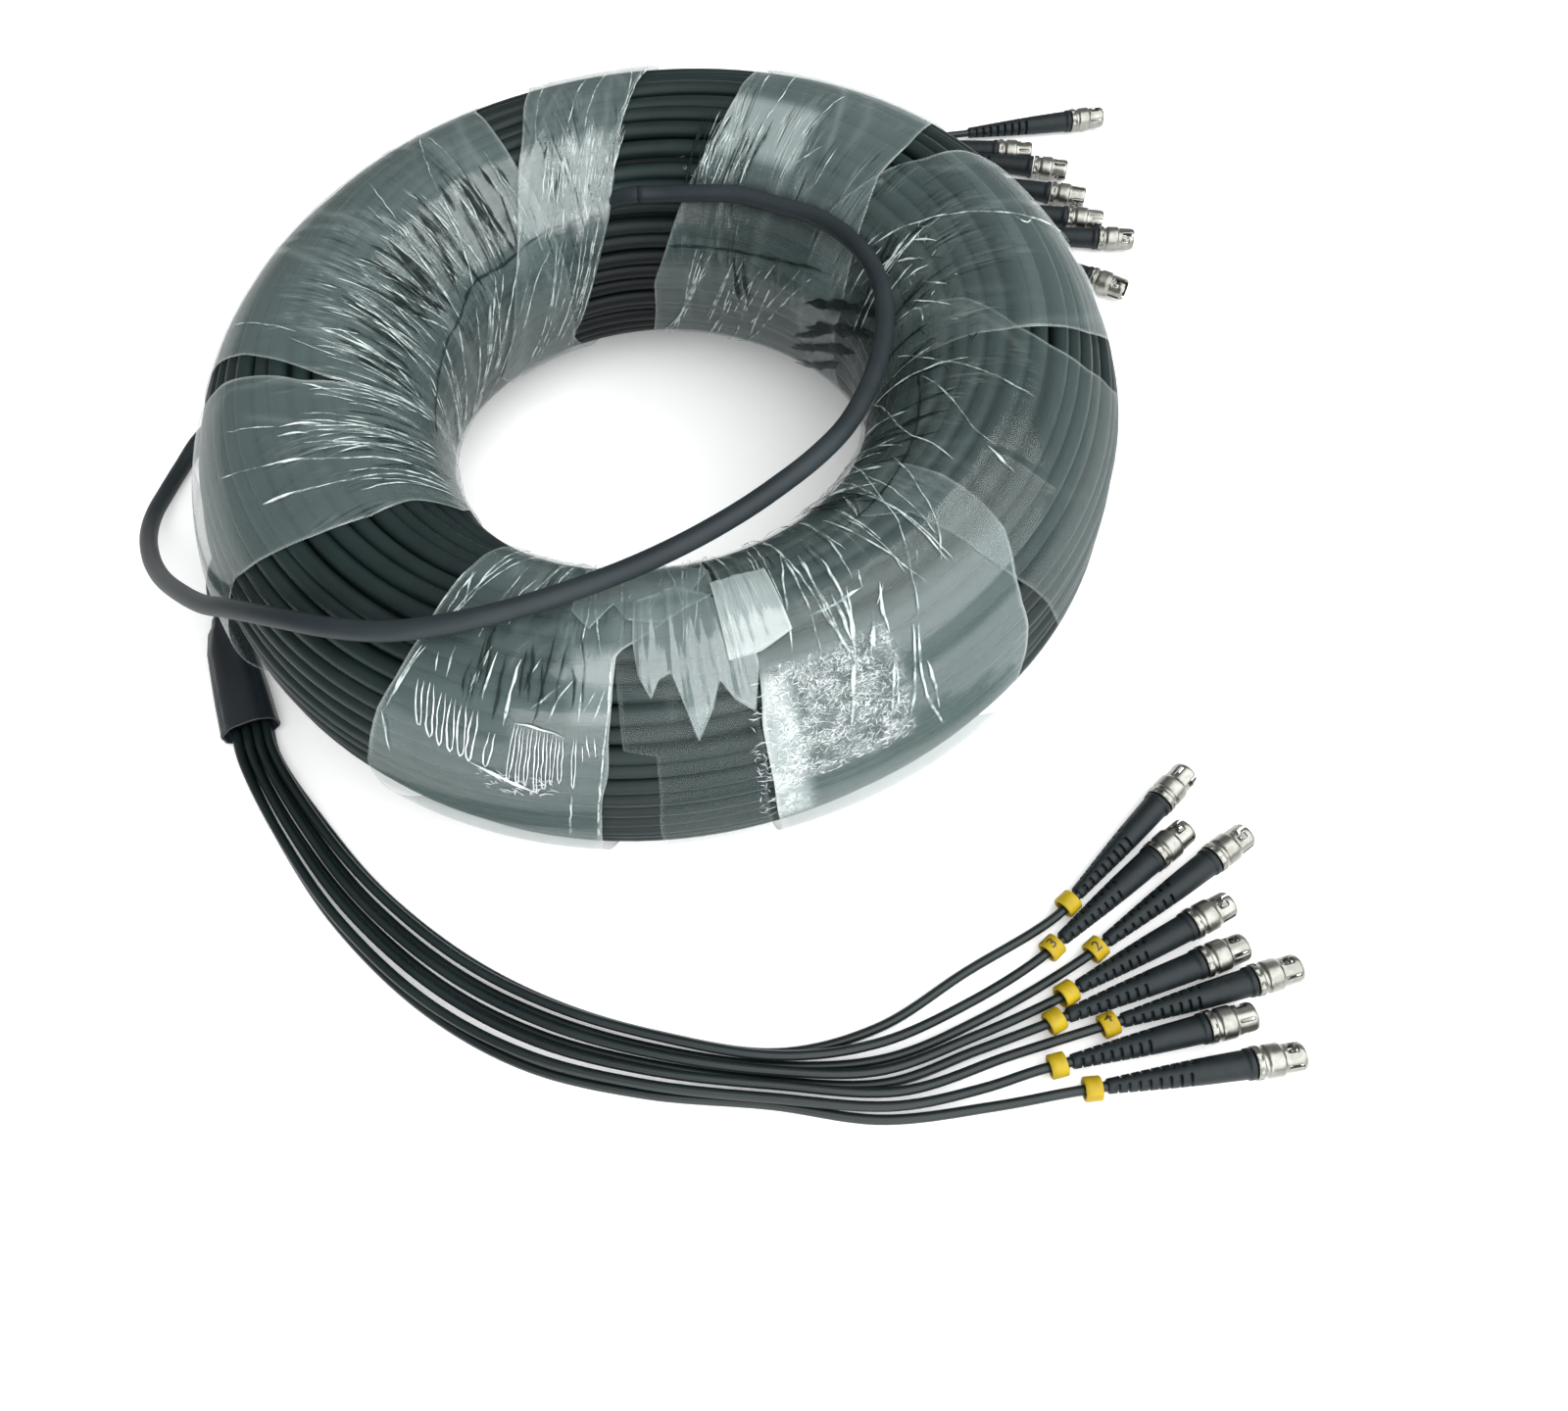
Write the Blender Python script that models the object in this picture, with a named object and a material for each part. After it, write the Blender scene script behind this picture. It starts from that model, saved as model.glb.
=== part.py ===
"""Fibre breakout cable: a bound coil of round trunk cable with an eight-leg breakout at each end."""
import math

import bpy
import numpy as np

for old in list(bpy.data.objects):
    bpy.data.objects.remove(old, do_unlink=True)

# Driving dimensions, in metres
GAP = 0.0003
FACE_GAP = 0.0006
TRUNK_D = 0.0058
LEG_D = 0.0030
COIL_R = 0.1095
COIL_HALF_W = 0.0385
COIL_HALF_H = 0.0480
TURNS_ROUND = 44
CREST_DEPTH = 0.0003
TURN_DEPTH = 0.0022
COIL_SEGS = 36
FILM_T = 0.0006
FILM_CLEAR = 0.0009
FILM_SIDES = 22
LEG_PITCH = LEG_D + GAP
BOOT_LEN = 0.0445
BOOT_R0 = 0.0022
BOOT_R1 = 0.0042
BOOT_LIP_R = 0.0046
NUT_R = 0.0049
NUT_BARREL_R = 0.0043
NUT_LEN = 0.0150
NUT_BORE_R = 0.0036
PLUG_R = NUT_BORE_R - GAP
FERRULE_R = 0.00125
RING_IN_R = 0.0026
RING_OUT_R = 0.0036
RING_LEN = 0.0050
SLEEVE_LEN = 0.048
SLEEVE_W = 0.0095
SLEEVE_H = 0.0056

# The film's underside is the lowest face of the coil and lies on the floor at zero
HALF_SIDE = math.pi / FILM_SIDES
FILM_OUT = FILM_CLEAR + FILM_T
COIL_Z = (COIL_HALF_H + FILM_OUT) * math.cos(HALF_SIDE)

COLOURS = {
    "jacket": (0.030, 0.036, 0.037, 1.0, 0.45, 0.0),
    "leg_jacket": (0.016, 0.020, 0.021, 1.0, 0.30, 0.0),
    "film": (0.52, 0.60, 0.58, 0.40, 0.20, 0.0),
    "heat_shrink": (0.014, 0.016, 0.018, 1.0, 0.50, 0.0),
    "boot_rubber": (0.022, 0.025, 0.027, 1.0, 0.55, 0.0),
    "nickel": (0.72, 0.72, 0.68, 1.0, 0.28, 1.0),
    "white_ceramic": (0.86, 0.86, 0.82, 1.0, 0.35, 0.0),
    "yellow_plastic": (0.78, 0.55, 0.06, 1.0, 0.40, 0.0),
}


def material(name):
    """A Principled material with the named colour, roughness and metal value."""
    found = bpy.data.materials.get(name)
    if found:
        return found
    r, g, b, alpha, rough, metal = COLOURS[name]
    made = bpy.data.materials.new(name)
    made.use_nodes = True
    shader = made.node_tree.nodes["Principled BSDF"]
    shader.inputs["Base Color"].default_value = (r, g, b, 1.0)
    shader.inputs["Roughness"].default_value = rough
    shader.inputs["Metallic"].default_value = metal
    shader.inputs["Alpha"].default_value = alpha
    return made


def solid(name, verts, faces, mat, smooth=True):
    """A closed mesh object from points and faces, with faces turned outwards."""
    mesh = bpy.data.meshes.new(name)
    mesh.from_pydata([tuple(map(float, v)) for v in verts], [], [tuple(map(int, f)) for f in faces])
    mesh.validate()
    mesh.update()
    obj = bpy.data.objects.new(name, mesh)
    bpy.context.scene.collection.objects.link(obj)
    tri_volume = 0.0
    mesh.calc_loop_triangles()
    for tri in mesh.loop_triangles:
        a, b, c = (mesh.vertices[i].co for i in tri.vertices)
        tri_volume += a.dot(b.cross(c))
    if tri_volume < 0.0:
        mesh.flip_normals()
    mesh.materials.append(material(mat))
    for poly in mesh.polygons:
        poly.use_smooth = smooth
    return obj


def frame_of(direction):
    """Unit vectors along a direction, level across it, and up from it."""
    d = np.asarray(direction, float)
    d = d / np.linalg.norm(d)
    side = np.cross(d, (0.0, 0.0, 1.0))
    side = side / np.linalg.norm(side)
    return d, side, np.cross(side, d)


def ring_grid(rings, closed_loop):
    """Faces between rings of points that all have the same count, with end caps unless closed."""
    count = len(rings[0])
    faces = []
    total = len(rings)
    for i in range(total if closed_loop else total - 1):
        j = (i + 1) % total
        for k in range(count):
            m = (k + 1) % count
            faces.append((i * count + k, i * count + m, j * count + m, j * count + k))
    if not closed_loop:
        faces.append(tuple(reversed(range(count))))
        faces.append(tuple((total - 1) * count + k for k in range(count)))
    return faces


def turned(name, profile, start, direction, sides, mat, notch=()):
    """A solid turned about an axis: profile holds (distance along, radius) pairs from end to end."""
    d, side, up = frame_of(direction)
    start = np.asarray(start, float)
    rings = []
    for n, (along, radius) in enumerate(profile):
        ring = []
        for k in range(sides):
            a = 2.0 * math.pi * (k + 0.5) / sides
            back = notch[0] if notch and n in notch[1] and k in notch[2] else 0.0
            ring.append(start + d * (along - back) + (side * math.cos(a) + up * math.sin(a)) * radius)
        rings.append(ring)
    verts = [v for ring in rings for v in ring]
    return solid(name, verts, ring_grid(rings, False), mat)


def hollow(name, profile, start, direction, sides, mat, notch=(), turn=0.0):
    """A turned sleeve: profile is a closed loop of (distance along, radius) pairs."""
    d, side, up = frame_of(direction)
    start = np.asarray(start, float)
    rings = []
    for k in range(sides):
        a = 2.0 * math.pi * (k + 0.5) / sides + turn
        ring = []
        for n, (along, radius) in enumerate(profile):
            back = notch[0] if notch and n in notch[1] and k in notch[2] else 0.0
            ring.append(start + d * (along - back) + (side * math.cos(a) + up * math.sin(a)) * radius)
        rings.append(ring)
    verts = [v for ring in rings for v in ring]
    return solid(name, verts, ring_grid(rings, True), mat)


def smooth_route(points, step):
    """Points at even spacing along a smooth curve that passes through the route's points."""
    p = np.asarray(points, float)
    p = np.vstack([2.0 * p[0] - p[1], p, 2.0 * p[-1] - p[-2]])
    dense = []
    for i in range(1, len(p) - 2):
        t0 = 0.0
        t1 = t0 + np.linalg.norm(p[i] - p[i - 1]) ** 0.5
        t2 = t1 + np.linalg.norm(p[i + 1] - p[i]) ** 0.5
        t3 = t2 + np.linalg.norm(p[i + 2] - p[i + 1]) ** 0.5
        for t in np.linspace(t1, t2, 24, endpoint=False):
            a1 = (t1 - t) / (t1 - t0) * p[i - 1] + (t - t0) / (t1 - t0) * p[i]
            a2 = (t2 - t) / (t2 - t1) * p[i] + (t - t1) / (t2 - t1) * p[i + 1]
            a3 = (t3 - t) / (t3 - t2) * p[i + 1] + (t - t2) / (t3 - t2) * p[i + 2]
            b1 = (t2 - t) / (t2 - t0) * a1 + (t - t0) / (t2 - t0) * a2
            b2 = (t3 - t) / (t3 - t1) * a2 + (t - t1) / (t3 - t1) * a3
            dense.append((t2 - t) / (t2 - t1) * b1 + (t - t1) / (t2 - t1) * b2)
    dense.append(p[-2])
    dense = np.array(dense)
    run = np.concatenate([[0.0], np.cumsum(np.linalg.norm(np.diff(dense, axis=0), axis=1))])
    count = max(3, int(round(run[-1] / step)) + 1)
    at = np.linspace(0.0, run[-1], count)
    return np.stack([np.interp(at, run, dense[:, k]) for k in range(3)], axis=1)


def cord(name, route, diameter, step, mat, resolution):
    """A round cord: one open curve with a round bevel and filled ends."""
    pts = smooth_route(route, step)
    data = bpy.data.curves.new(name, "CURVE")
    data.dimensions = "3D"
    data.bevel_depth = diameter / 2.0
    data.bevel_resolution = resolution
    data.resolution_u = 1
    data.render_resolution_u = 0
    data.use_fill_caps = True
    spline = data.splines.new("POLY")
    spline.points.add(len(pts) - 1)
    for point, place in zip(spline.points, pts):
        point.co = (float(place[0]), float(place[1]), float(place[2]), 1.0)
    obj = bpy.data.objects.new(name, data)
    bpy.context.scene.collection.objects.link(obj)
    data.materials.append(material(mat))
    return obj


# Wound coil: one turned solid. Its section is an ellipse, with a ridge for each turn at even spacing round it
section_angles = np.radians(np.linspace(-90.0, 270.0, 1441))
section_run = np.concatenate([[0.0], np.cumsum(np.hypot(
    np.diff(COIL_HALF_W * np.cos(section_angles)), np.diff(COIL_HALF_H * np.sin(section_angles))))])
coil_profile = []
for n in range(TURNS_ROUND):
    for part, depth in ((-0.27, CREST_DEPTH), (0.27, CREST_DEPTH), (0.5, TURN_DEPTH)):
        place = (n + 0.5 + part) / TURNS_ROUND * section_run[-1]
        angle = float(np.interp(place, section_run, section_angles))
        out_w = math.cos(angle) / COIL_HALF_W
        out_h = math.sin(angle) / COIL_HALF_H
        size = math.hypot(out_w, out_h)
        coil_profile.append((COIL_R + COIL_HALF_W * math.cos(angle) - depth * out_w / size,
                             COIL_Z + COIL_HALF_H * math.sin(angle) - depth * out_h / size))
coil_rings = []
for n in range(COIL_SEGS):
    a = 2.0 * math.pi * n / COIL_SEGS
    coil_rings.append([(r * math.cos(a), r * math.sin(a), z) for r, z in coil_profile])
solid("cable_coil", [v for ring in coil_rings for v in ring], ring_grid(coil_rings, True), "jacket")

# Stretch-film wraps round the coil's section: start and end angles in degrees, going round the coil
WRAPS = {
    "film_wrap_left_back": (97.5, 181.5),
    "film_wrap_right_back": (45.5, 84.5),
    "film_wrap_right": (-37.5, 43.0),
    "film_wrap_front": (-74.0, -39.0),
    "film_wrap_left_front": (-118.0, -91.0),
    "film_wrap_left": (-171.0, -141.0),
}


def chord(angle):
    """How far in a flat facet of the coil lies at an angle, as a share of its corner radius."""
    part = 2.0 * math.pi / COIL_SEGS
    return math.cos(part / 2.0) / math.cos((angle % part) - part / 2.0)


def film_wrap(name, low, high):
    """A thin shell round the coil's section between two angles."""
    part = 360.0 / COIL_SEGS
    angles = [low]
    for n in range(int(math.floor(low / part)), int(math.ceil(high / part)) + 1):
        if low + 0.2 < n * part < high - 0.2:
            angles.append(n * part)
    angles.append(high)
    columns = []
    for layer in (FILM_OUT, FILM_CLEAR):
        column = []
        for deg in angles:
            a = math.radians(deg)
            ring = []
            for k in range(FILM_SIDES):
                s = math.radians(270.0) + 2.0 * math.pi * (k + 0.5) / FILM_SIDES
                r = (COIL_R + (COIL_HALF_W + layer) * math.cos(s)) * chord(a)
                z = COIL_Z + (COIL_HALF_H + layer) * math.sin(s)
                ring.append((r * math.cos(a), r * math.sin(a), z))
            column.append(ring)
        columns.append(column)
    rings = columns[0] + list(reversed(columns[1]))
    solid(name, [v for ring in rings for v in ring], ring_grid(rings, True), "film")


for wrap_name, (wrap_low, wrap_high) in WRAPS.items():
    film_wrap(wrap_name, wrap_low, wrap_high)

# Loose turn of trunk cable: comes off the coil's inner side at the back, crosses the hole,
# lies over the front and drops over the left side to the floor
LOOP_ROUTE = [
    (-0.0065, 0.0779, 0.0827), (0.0007, 0.0779, 0.0828), (0.0120, 0.0765, 0.0842), (0.0273, 0.0738, 0.0858),
    (0.0417, 0.0672, 0.0866), (0.0561, 0.0579, 0.0885), (0.0678, 0.0409, 0.0915), (0.0736, 0.0235, 0.0940),
    (0.0746, 0.0022, 0.0972), (0.0714, -0.0193, 0.1006), (0.0665, -0.0360, 0.1034), (0.0602, -0.0500, 0.1053),
    (0.0515, -0.0622, 0.1068), (0.0420, -0.0720, 0.1074), (0.0326, -0.0800, 0.1072), (0.0212, -0.0876, 0.1062),
    (0.0095, -0.0938, 0.1048), (-0.0025, -0.0990, 0.1034), (-0.0234, -0.1067, 0.1019), (-0.0384, -0.1107, 0.1010),
    (-0.0596, -0.1119, 0.0976), (-0.0767, -0.1082, 0.0938), (-0.0925, -0.1021, 0.0892), (-0.1124, -0.0917, 0.0790),
    (-0.1260, -0.0832, 0.0690), (-0.1425, -0.0686, 0.0550), (-0.1577, -0.0526, 0.0410), (-0.1707, -0.0350, 0.0280),
    (-0.1802, -0.0173, 0.0175), (-0.1844, -0.0029, 0.0110), (-0.1850, 0.0113, 0.0065), (-0.1834, 0.0255, 0.0042),
    (-0.1804, 0.0389, 0.0034), (-0.1720, 0.0530, 0.0032), (-0.1590, 0.0625, 0.0032), (-0.1420, 0.0665, 0.0032),
]
cord("trunk_loop", LOOP_ROUTE, TRUNK_D, 0.0125, "jacket", 3)

# Trunk end that leaves the underside of the coil for the near sleeve
SLEEVE_AT = np.array((-0.1520, -0.0462, 0.0062))
SLEEVE_TO = np.array((-0.1335, -0.0905, 0.0062))
SLEEVE_DIR = (SLEEVE_TO - SLEEVE_AT) / np.linalg.norm(SLEEVE_TO - SLEEVE_AT)
NEAR_LEAD = [
    (-0.1253, 0.0341, 0.0032), (-0.1392, 0.0210, 0.0032), (-0.1525, 0.0030, 0.0034), (-0.1585, -0.0130, 0.0044),
    tuple(SLEEVE_AT - SLEEVE_DIR * 0.0170), tuple(SLEEVE_AT - SLEEVE_DIR * FACE_GAP),
]
cord("near_trunk_lead", NEAR_LEAD, TRUNK_D, 0.0125, "jacket", 3)


def sleeve(name, start, direction):
    """A flattened heat-shrink sleeve, narrow where it grips the trunk and wide where the legs come out."""
    d, side, up = frame_of(direction)
    shape = [(0.0, 0.42, 0.62), (0.006, 0.62, 0.80), (0.014, 0.80, 0.98), (0.034, 0.94, 1.0),
             (SLEEVE_LEN, 1.0, 1.0)]
    rings = []
    for along, wide, high in shape:
        ring = []
        for k in range(12):
            a = 2.0 * math.pi * (k + 0.5) / 12
            ring.append(np.asarray(start) + d * along + side * (math.cos(a) * SLEEVE_W * wide)
                        + up * (math.sin(a) * SLEEVE_H * high))
        rings.append(ring)
    solid(name, [v for ring in rings for v in ring], ring_grid(rings, False), "heat_shrink")


sleeve("near_breakout_sleeve", SLEEVE_AT, SLEEVE_DIR)

# Near legs: the way each runs from the sleeve to its boot.
# Each row gives the centre line of the bundle and the direction across it, then each leg keeps its lane
LOW = LEG_D / 2.0 + GAP
HIGH = LOW + LEG_PITCH
BUNDLE = [
    (-0.1111, -0.1260), (-0.0885, -0.1520), (-0.0585, -0.1762), (-0.0290, -0.1912), (0.0035, -0.2000),
    (0.0400, -0.2045),
]
LANES = {
    1: (LOW, (-5.0, -6.6, -8.0, -9.4, -9.6, -8.6, -7.6)),
    2: (HIGH, (-5.0, -5.6, -7.0, -8.0, -8.4, -7.6, -6.0)),
    3: (LOW, (-1.7, -2.6, -3.6, -4.6, -5.2, -4.6, -3.8)),
    4: (HIGH, (-1.7, -1.6, -1.8, -2.4, -2.8, -2.4, -1.6)),
    5: (LOW, (1.7, 1.8, 1.2, 0.8, 0.2, 0.0, 0.6)),
    6: (HIGH, (1.7, 2.4, 2.8, 3.0, 3.0, 2.6, 2.4)),
    7: (HIGH, (5.0, 6.0, 6.8, 7.6, 7.4, 6.6, 6.2)),
    8: (LOW, (5.0, 6.4, 7.8, 9.2, 9.8, 8.6, 7.4)),
}
# Each connector: middle of its marker ring, rear of its boot, tip of its nut, and route points before the ring
ENDS = {
    1: ((0.1297, -0.1512), (0.1333, -0.1489), (0.1736, -0.1075), ((0.0700, -0.1900), (0.0970, -0.1735))),
    2: ((0.1242, -0.1659), (0.1271, -0.1634), (0.1703, -0.1277), ((0.0700, -0.1950), (0.0975, -0.1830))),
    3: ((0.1328, -0.1696), (0.1360, -0.1674), (0.1888, -0.1296), ((0.0720, -0.1990), (0.1020, -0.1870))),
    4: ((0.1266, -0.1806), (0.1303, -0.1784), (0.1795, -0.1528), ((0.0700, -0.2030), (0.0980, -0.1932))),
    5: ((0.1221, -0.1885), (0.1260, -0.1871), (0.1816, -0.1664), ((0.0720, -0.2060), (0.0980, -0.1972))),
    6: ((0.1385, -0.1903), (0.1419, -0.1886), (0.1964, -0.1732), ((0.0760, -0.2088), (0.1080, -0.1988))),
    7: ((0.1226, -0.2006), (0.1256, -0.2006), (0.1803, -0.1878), ((0.0740, -0.2130), (0.0990, -0.2082))),
    8: ((0.1315, -0.2085), (0.1349, -0.2077), (0.1922, -0.1996), ((0.0700, -0.2163), (0.1020, -0.2130))),
}
AXIS_REAR_Z = 0.0040
AXIS_TIP_Z = 0.0053
side_at_sleeve = np.cross(SLEEVE_DIR, (0.0, 0.0, 1.0))
for num in range(1, 9):
    ring_at, rear, tip, lead_in = ENDS[num]
    lane_z, lanes = LANES[num]
    rear = np.array((rear[0], rear[1], AXIS_REAR_Z))
    tip = np.array((tip[0], tip[1], AXIS_TIP_Z))
    axis = (tip - rear) / np.linalg.norm(tip - rear)
    boot_end = tip - axis * NUT_LEN
    boot_len = min(BOOT_LEN, float(np.linalg.norm(boot_end - rear)))
    boot_start = boot_end - axis * boot_len
    exit_at = SLEEVE_AT + SLEEVE_DIR * (SLEEVE_LEN + FACE_GAP)
    # lanes are counted to the outer side, the right hand of the run
    out = side_at_sleeve * -1.0 if side_at_sleeve[0] > 0.0 else side_at_sleeve
    start = exit_at + out * (lanes[0] * 0.001)
    start[2] = lane_z if lane_z > LOW else LOW
    route = [start, start + SLEEVE_DIR * 0.009]
    centre = [exit_at[:2]] + [np.array(b) for b in BUNDLE]
    for n in range(1, len(centre)):
        ahead = centre[min(n + 1, len(centre) - 1)] - centre[n - 1]
        ahead = ahead / np.linalg.norm(ahead)
        across = np.array((ahead[1], -ahead[0]))
        place = centre[n] + across * (lanes[n] * 0.001)
        route.append(np.array((place[0], place[1], lane_z)))
    for n, place in enumerate(lead_in):
        share = (n + 1.0) / (len(lead_in) + 1.0)
        route.append(np.array((place[0], place[1], lane_z + (AXIS_REAR_Z - lane_z) * share)))
    route.append(boot_start - axis * 0.0095)
    route.append(boot_start - axis * FACE_GAP)
    cord("near_leg_%d" % num, route, LEG_D, 0.0165, "leg_jacket", 2)
    ring_mid = boot_start - axis * 0.0042
    ring_mid[2] = RING_OUT_R + 0.0002
    hollow("near_marker_ring_%d" % num,
           [(-RING_LEN / 2.0, RING_IN_R), (-RING_LEN / 2.0, RING_OUT_R), (RING_LEN / 2.0, RING_OUT_R),
            (RING_LEN / 2.0, RING_IN_R)], ring_mid, axis, 12, "yellow_plastic")
    turned("near_boot_%d" % num,
           [(0.0, BOOT_R0), (boot_len * 0.6, BOOT_R1 * 0.80), (boot_len * 0.92, BOOT_R1),
            (boot_len - 0.0016, BOOT_LIP_R), (boot_len, BOOT_LIP_R)],
           boot_start, axis, 8, "boot_rubber")
    nut_at = boot_end + axis * GAP
    turned("near_plug_%d" % num,
           [(0.0, PLUG_R), (0.0108, PLUG_R), (0.0110, FERRULE_R), (0.0142, FERRULE_R)],
           nut_at, axis, 12, "white_ceramic")
    hollow("near_coupling_nut_%d" % num,
           [(0.0, NUT_BORE_R), (0.0, NUT_R), (0.0020, NUT_R), (0.0024, NUT_BARREL_R), (0.0034, NUT_BARREL_R),
            (0.0037, NUT_R), (0.0078, NUT_R), (0.0082, NUT_BARREL_R), (NUT_LEN - 0.0012, NUT_BARREL_R),
            (NUT_LEN - GAP, NUT_BARREL_R - 0.0005), (NUT_LEN - GAP, NUT_BORE_R)],
           nut_at, axis, 12, "nickel", (0.0045, (8, 9, 10), (1, 7)))

# Far end, behind the coil: trunk end, sleeve and eight pigtails, each leg with its boot and connector in one
FAR_SLEEVE_AT = np.array((-0.0860, 0.1230, 0.0062))
FAR_SLEEVE_TO = np.array((-0.0560, 0.1605, 0.0062))
FAR_DIR = (FAR_SLEEVE_TO - FAR_SLEEVE_AT) / np.linalg.norm(FAR_SLEEVE_TO - FAR_SLEEVE_AT)
FAR_LEAD = [
    (-0.1174, 0.0557, 0.0032), (-0.1150, 0.0730, 0.0032), (-0.1080, 0.0910, 0.0040),
    tuple(FAR_SLEEVE_AT - FAR_DIR * 0.0170), tuple(FAR_SLEEVE_AT - FAR_DIR * FACE_GAP),
]


def pigtail(name, route, start, axis, length):
    """One solid: a leg, its boot and its connector, as rings of points along one line."""
    pts = list(smooth_route(route, 0.019))
    d, side, up = frame_of(axis)
    stations = [(p, LEG_D / 2.0) for p in pts]
    body = length - NUT_LEN
    for along, radius in [(0.0, BOOT_R0), (body * 0.9, BOOT_R1), (body, BOOT_LIP_R), (body + 0.0003, NUT_R),
                          (body + 0.0078, NUT_R), (body + 0.0081, NUT_BARREL_R), (length, NUT_BARREL_R)]:
        stations.append((start + d * (along + GAP), radius))
    rings = []
    for n, (place, radius) in enumerate(stations):
        before = stations[max(n - 1, 0)][0]
        after = stations[min(n + 1, len(stations) - 1)][0]
        d2, side2, up2 = frame_of(after - before)
        ring = []
        for k in range(6):
            a = 2.0 * math.pi * (k + 0.5) / 6
            ring.append(place + (side2 * math.cos(a) + up2 * math.sin(a)) * radius)
        rings.append(ring)
    solid(name, [v for ring in rings for v in ring], ring_grid(rings, False), "leg_jacket")


cord("far_trunk_lead", FAR_LEAD, TRUNK_D, 0.0125, "jacket", 3)
sleeve("far_breakout_sleeve", FAR_SLEEVE_AT, FAR_DIR)
# Each far connector: rear of its boot, tip of its nut, and route points between the bundle and the boot
FAR_ENDS = {
    1: ((0.1280, 0.2188), (0.1893, 0.2278), ((0.0850, 0.2140),)),
    2: ((0.0960, 0.2096), (0.1548, 0.2032), ((0.0700, 0.2078),)),
    3: ((0.1110, 0.2028), (0.1692, 0.1906), ((0.0760, 0.2033),)),
    4: ((0.1174, 0.1878), (0.1749, 0.1724), ((0.0800, 0.1975),)),
    5: ((0.1222, 0.1689), (0.1806, 0.1575), ((0.0780, 0.1915), (0.0990, 0.1800))),
    6: ((0.1329, 0.1512), (0.1921, 0.1460), ((0.0740, 0.1895), (0.0960, 0.1745), (0.1130, 0.1602))),
    7: ((0.1330, 0.1450), (0.1845, 0.1153), ((0.0680, 0.1855), (0.0890, 0.1690), (0.1080, 0.1562))),
    8: ((0.0100, 0.1745), (0.0693, 0.1715), ()),
}
FAR_BUNDLE = [(-0.0400, 0.1755), (-0.0100, 0.1890), (0.0400, 0.1985)]
FAR_LANES = {
    1: (HIGH, (-5.0, -5.4, -6.2, -7.0)), 2: (LOW, (-5.0, -5.4, -6.2, -6.6)),
    3: (HIGH, (-1.7, -1.8, -2.2, -2.6)), 4: (LOW, (-1.7, -1.8, -2.2, -2.4)),
    5: (HIGH, (1.7, 1.8, 1.8, 1.4)), 6: (LOW, (1.7, 1.8, 1.8, 1.6)),
    7: (HIGH, (5.0, 5.4, 5.8, 5.2)), 8: (LOW, (5.0, 5.6)),
}
far_exit = FAR_SLEEVE_AT + FAR_DIR * (SLEEVE_LEN + FACE_GAP)
for num in range(1, 9):
    rear, tip, lead_in = FAR_ENDS[num]
    lane_z, lanes = FAR_LANES[num]
    rear = np.array((rear[0], rear[1], AXIS_REAR_Z))
    tip = np.array((tip[0], tip[1], AXIS_TIP_Z))
    axis = (tip - rear) / np.linalg.norm(tip - rear)
    centre = [far_exit[:2]] + [np.array(b) for b in FAR_BUNDLE]
    route = []
    for n in range(len(lanes)):
        ahead = FAR_DIR[:2] if n == 0 else centre[min(n + 1, len(centre) - 1)] - centre[n - 1]
        ahead = ahead / np.linalg.norm(ahead)
        across = np.array((ahead[1], -ahead[0]))
        place = centre[n] + across * (lanes[n] * 0.001)
        route.append(np.array((place[0], place[1], lane_z)))
        if n == 0:
            route.append(route[0] + FAR_DIR * 0.009)
    for n, place in enumerate(lead_in):
        share = (n + 1.0) / (len(lead_in) + 1.0)
        route.append(np.array((place[0], place[1], lane_z + (AXIS_REAR_Z - lane_z) * share)))
    route.append(rear - axis * 0.010)
    route.append(rear - axis * GAP)
    pigtail("far_pigtail_%d" % num, route, rear, axis, float(np.linalg.norm(tip - rear)))
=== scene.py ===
"""Fibre breakout cable, dressed: a bound coil of trunk cable with an eight-leg breakout at each end."""
import math

import bpy
import numpy as np
from mathutils import Matrix


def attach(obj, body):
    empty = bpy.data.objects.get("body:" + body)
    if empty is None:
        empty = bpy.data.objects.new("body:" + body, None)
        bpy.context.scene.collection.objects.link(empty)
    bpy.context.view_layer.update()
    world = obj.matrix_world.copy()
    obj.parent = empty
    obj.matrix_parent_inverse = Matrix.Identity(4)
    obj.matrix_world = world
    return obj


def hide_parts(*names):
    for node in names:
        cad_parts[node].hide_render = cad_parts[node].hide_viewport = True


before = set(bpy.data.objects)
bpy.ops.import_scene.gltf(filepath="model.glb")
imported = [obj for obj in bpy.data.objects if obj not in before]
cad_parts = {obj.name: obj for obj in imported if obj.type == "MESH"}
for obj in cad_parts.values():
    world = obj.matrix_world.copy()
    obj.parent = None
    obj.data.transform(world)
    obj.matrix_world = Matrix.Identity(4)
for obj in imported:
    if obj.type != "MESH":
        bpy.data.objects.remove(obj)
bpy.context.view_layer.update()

# Dimensions in metres, the same as the CAD frame's
GAP = 0.0003
FACE_GAP = 0.0006
TRUNK_D = 0.0058
LEG_D = 0.0030
COIL_R = 0.1095
COIL_HALF_W = 0.0385
COIL_HALF_H = 0.0480
COIL_Z = 0.0490
LEG_PITCH = LEG_D + GAP
BOOT_LEN = 0.0445
NUT_LEN = 0.0150
RING_OUT_R = 0.0036
SLEEVE_LEN = 0.048
SLEEVE_W = 0.0095
SLEEVE_H = 0.0056
LOW = LEG_D / 2.0 + GAP
HIGH = LOW + LEG_PITCH
AXIS_REAR_Z = 0.0040
AXIS_TIP_Z = 0.0053
INTO_BOOT = 0.0080
IN_SLEEVE = 0.0170
OVERLAP = 0.0006
TUCKED = 0.00002

# Camera and light

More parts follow.
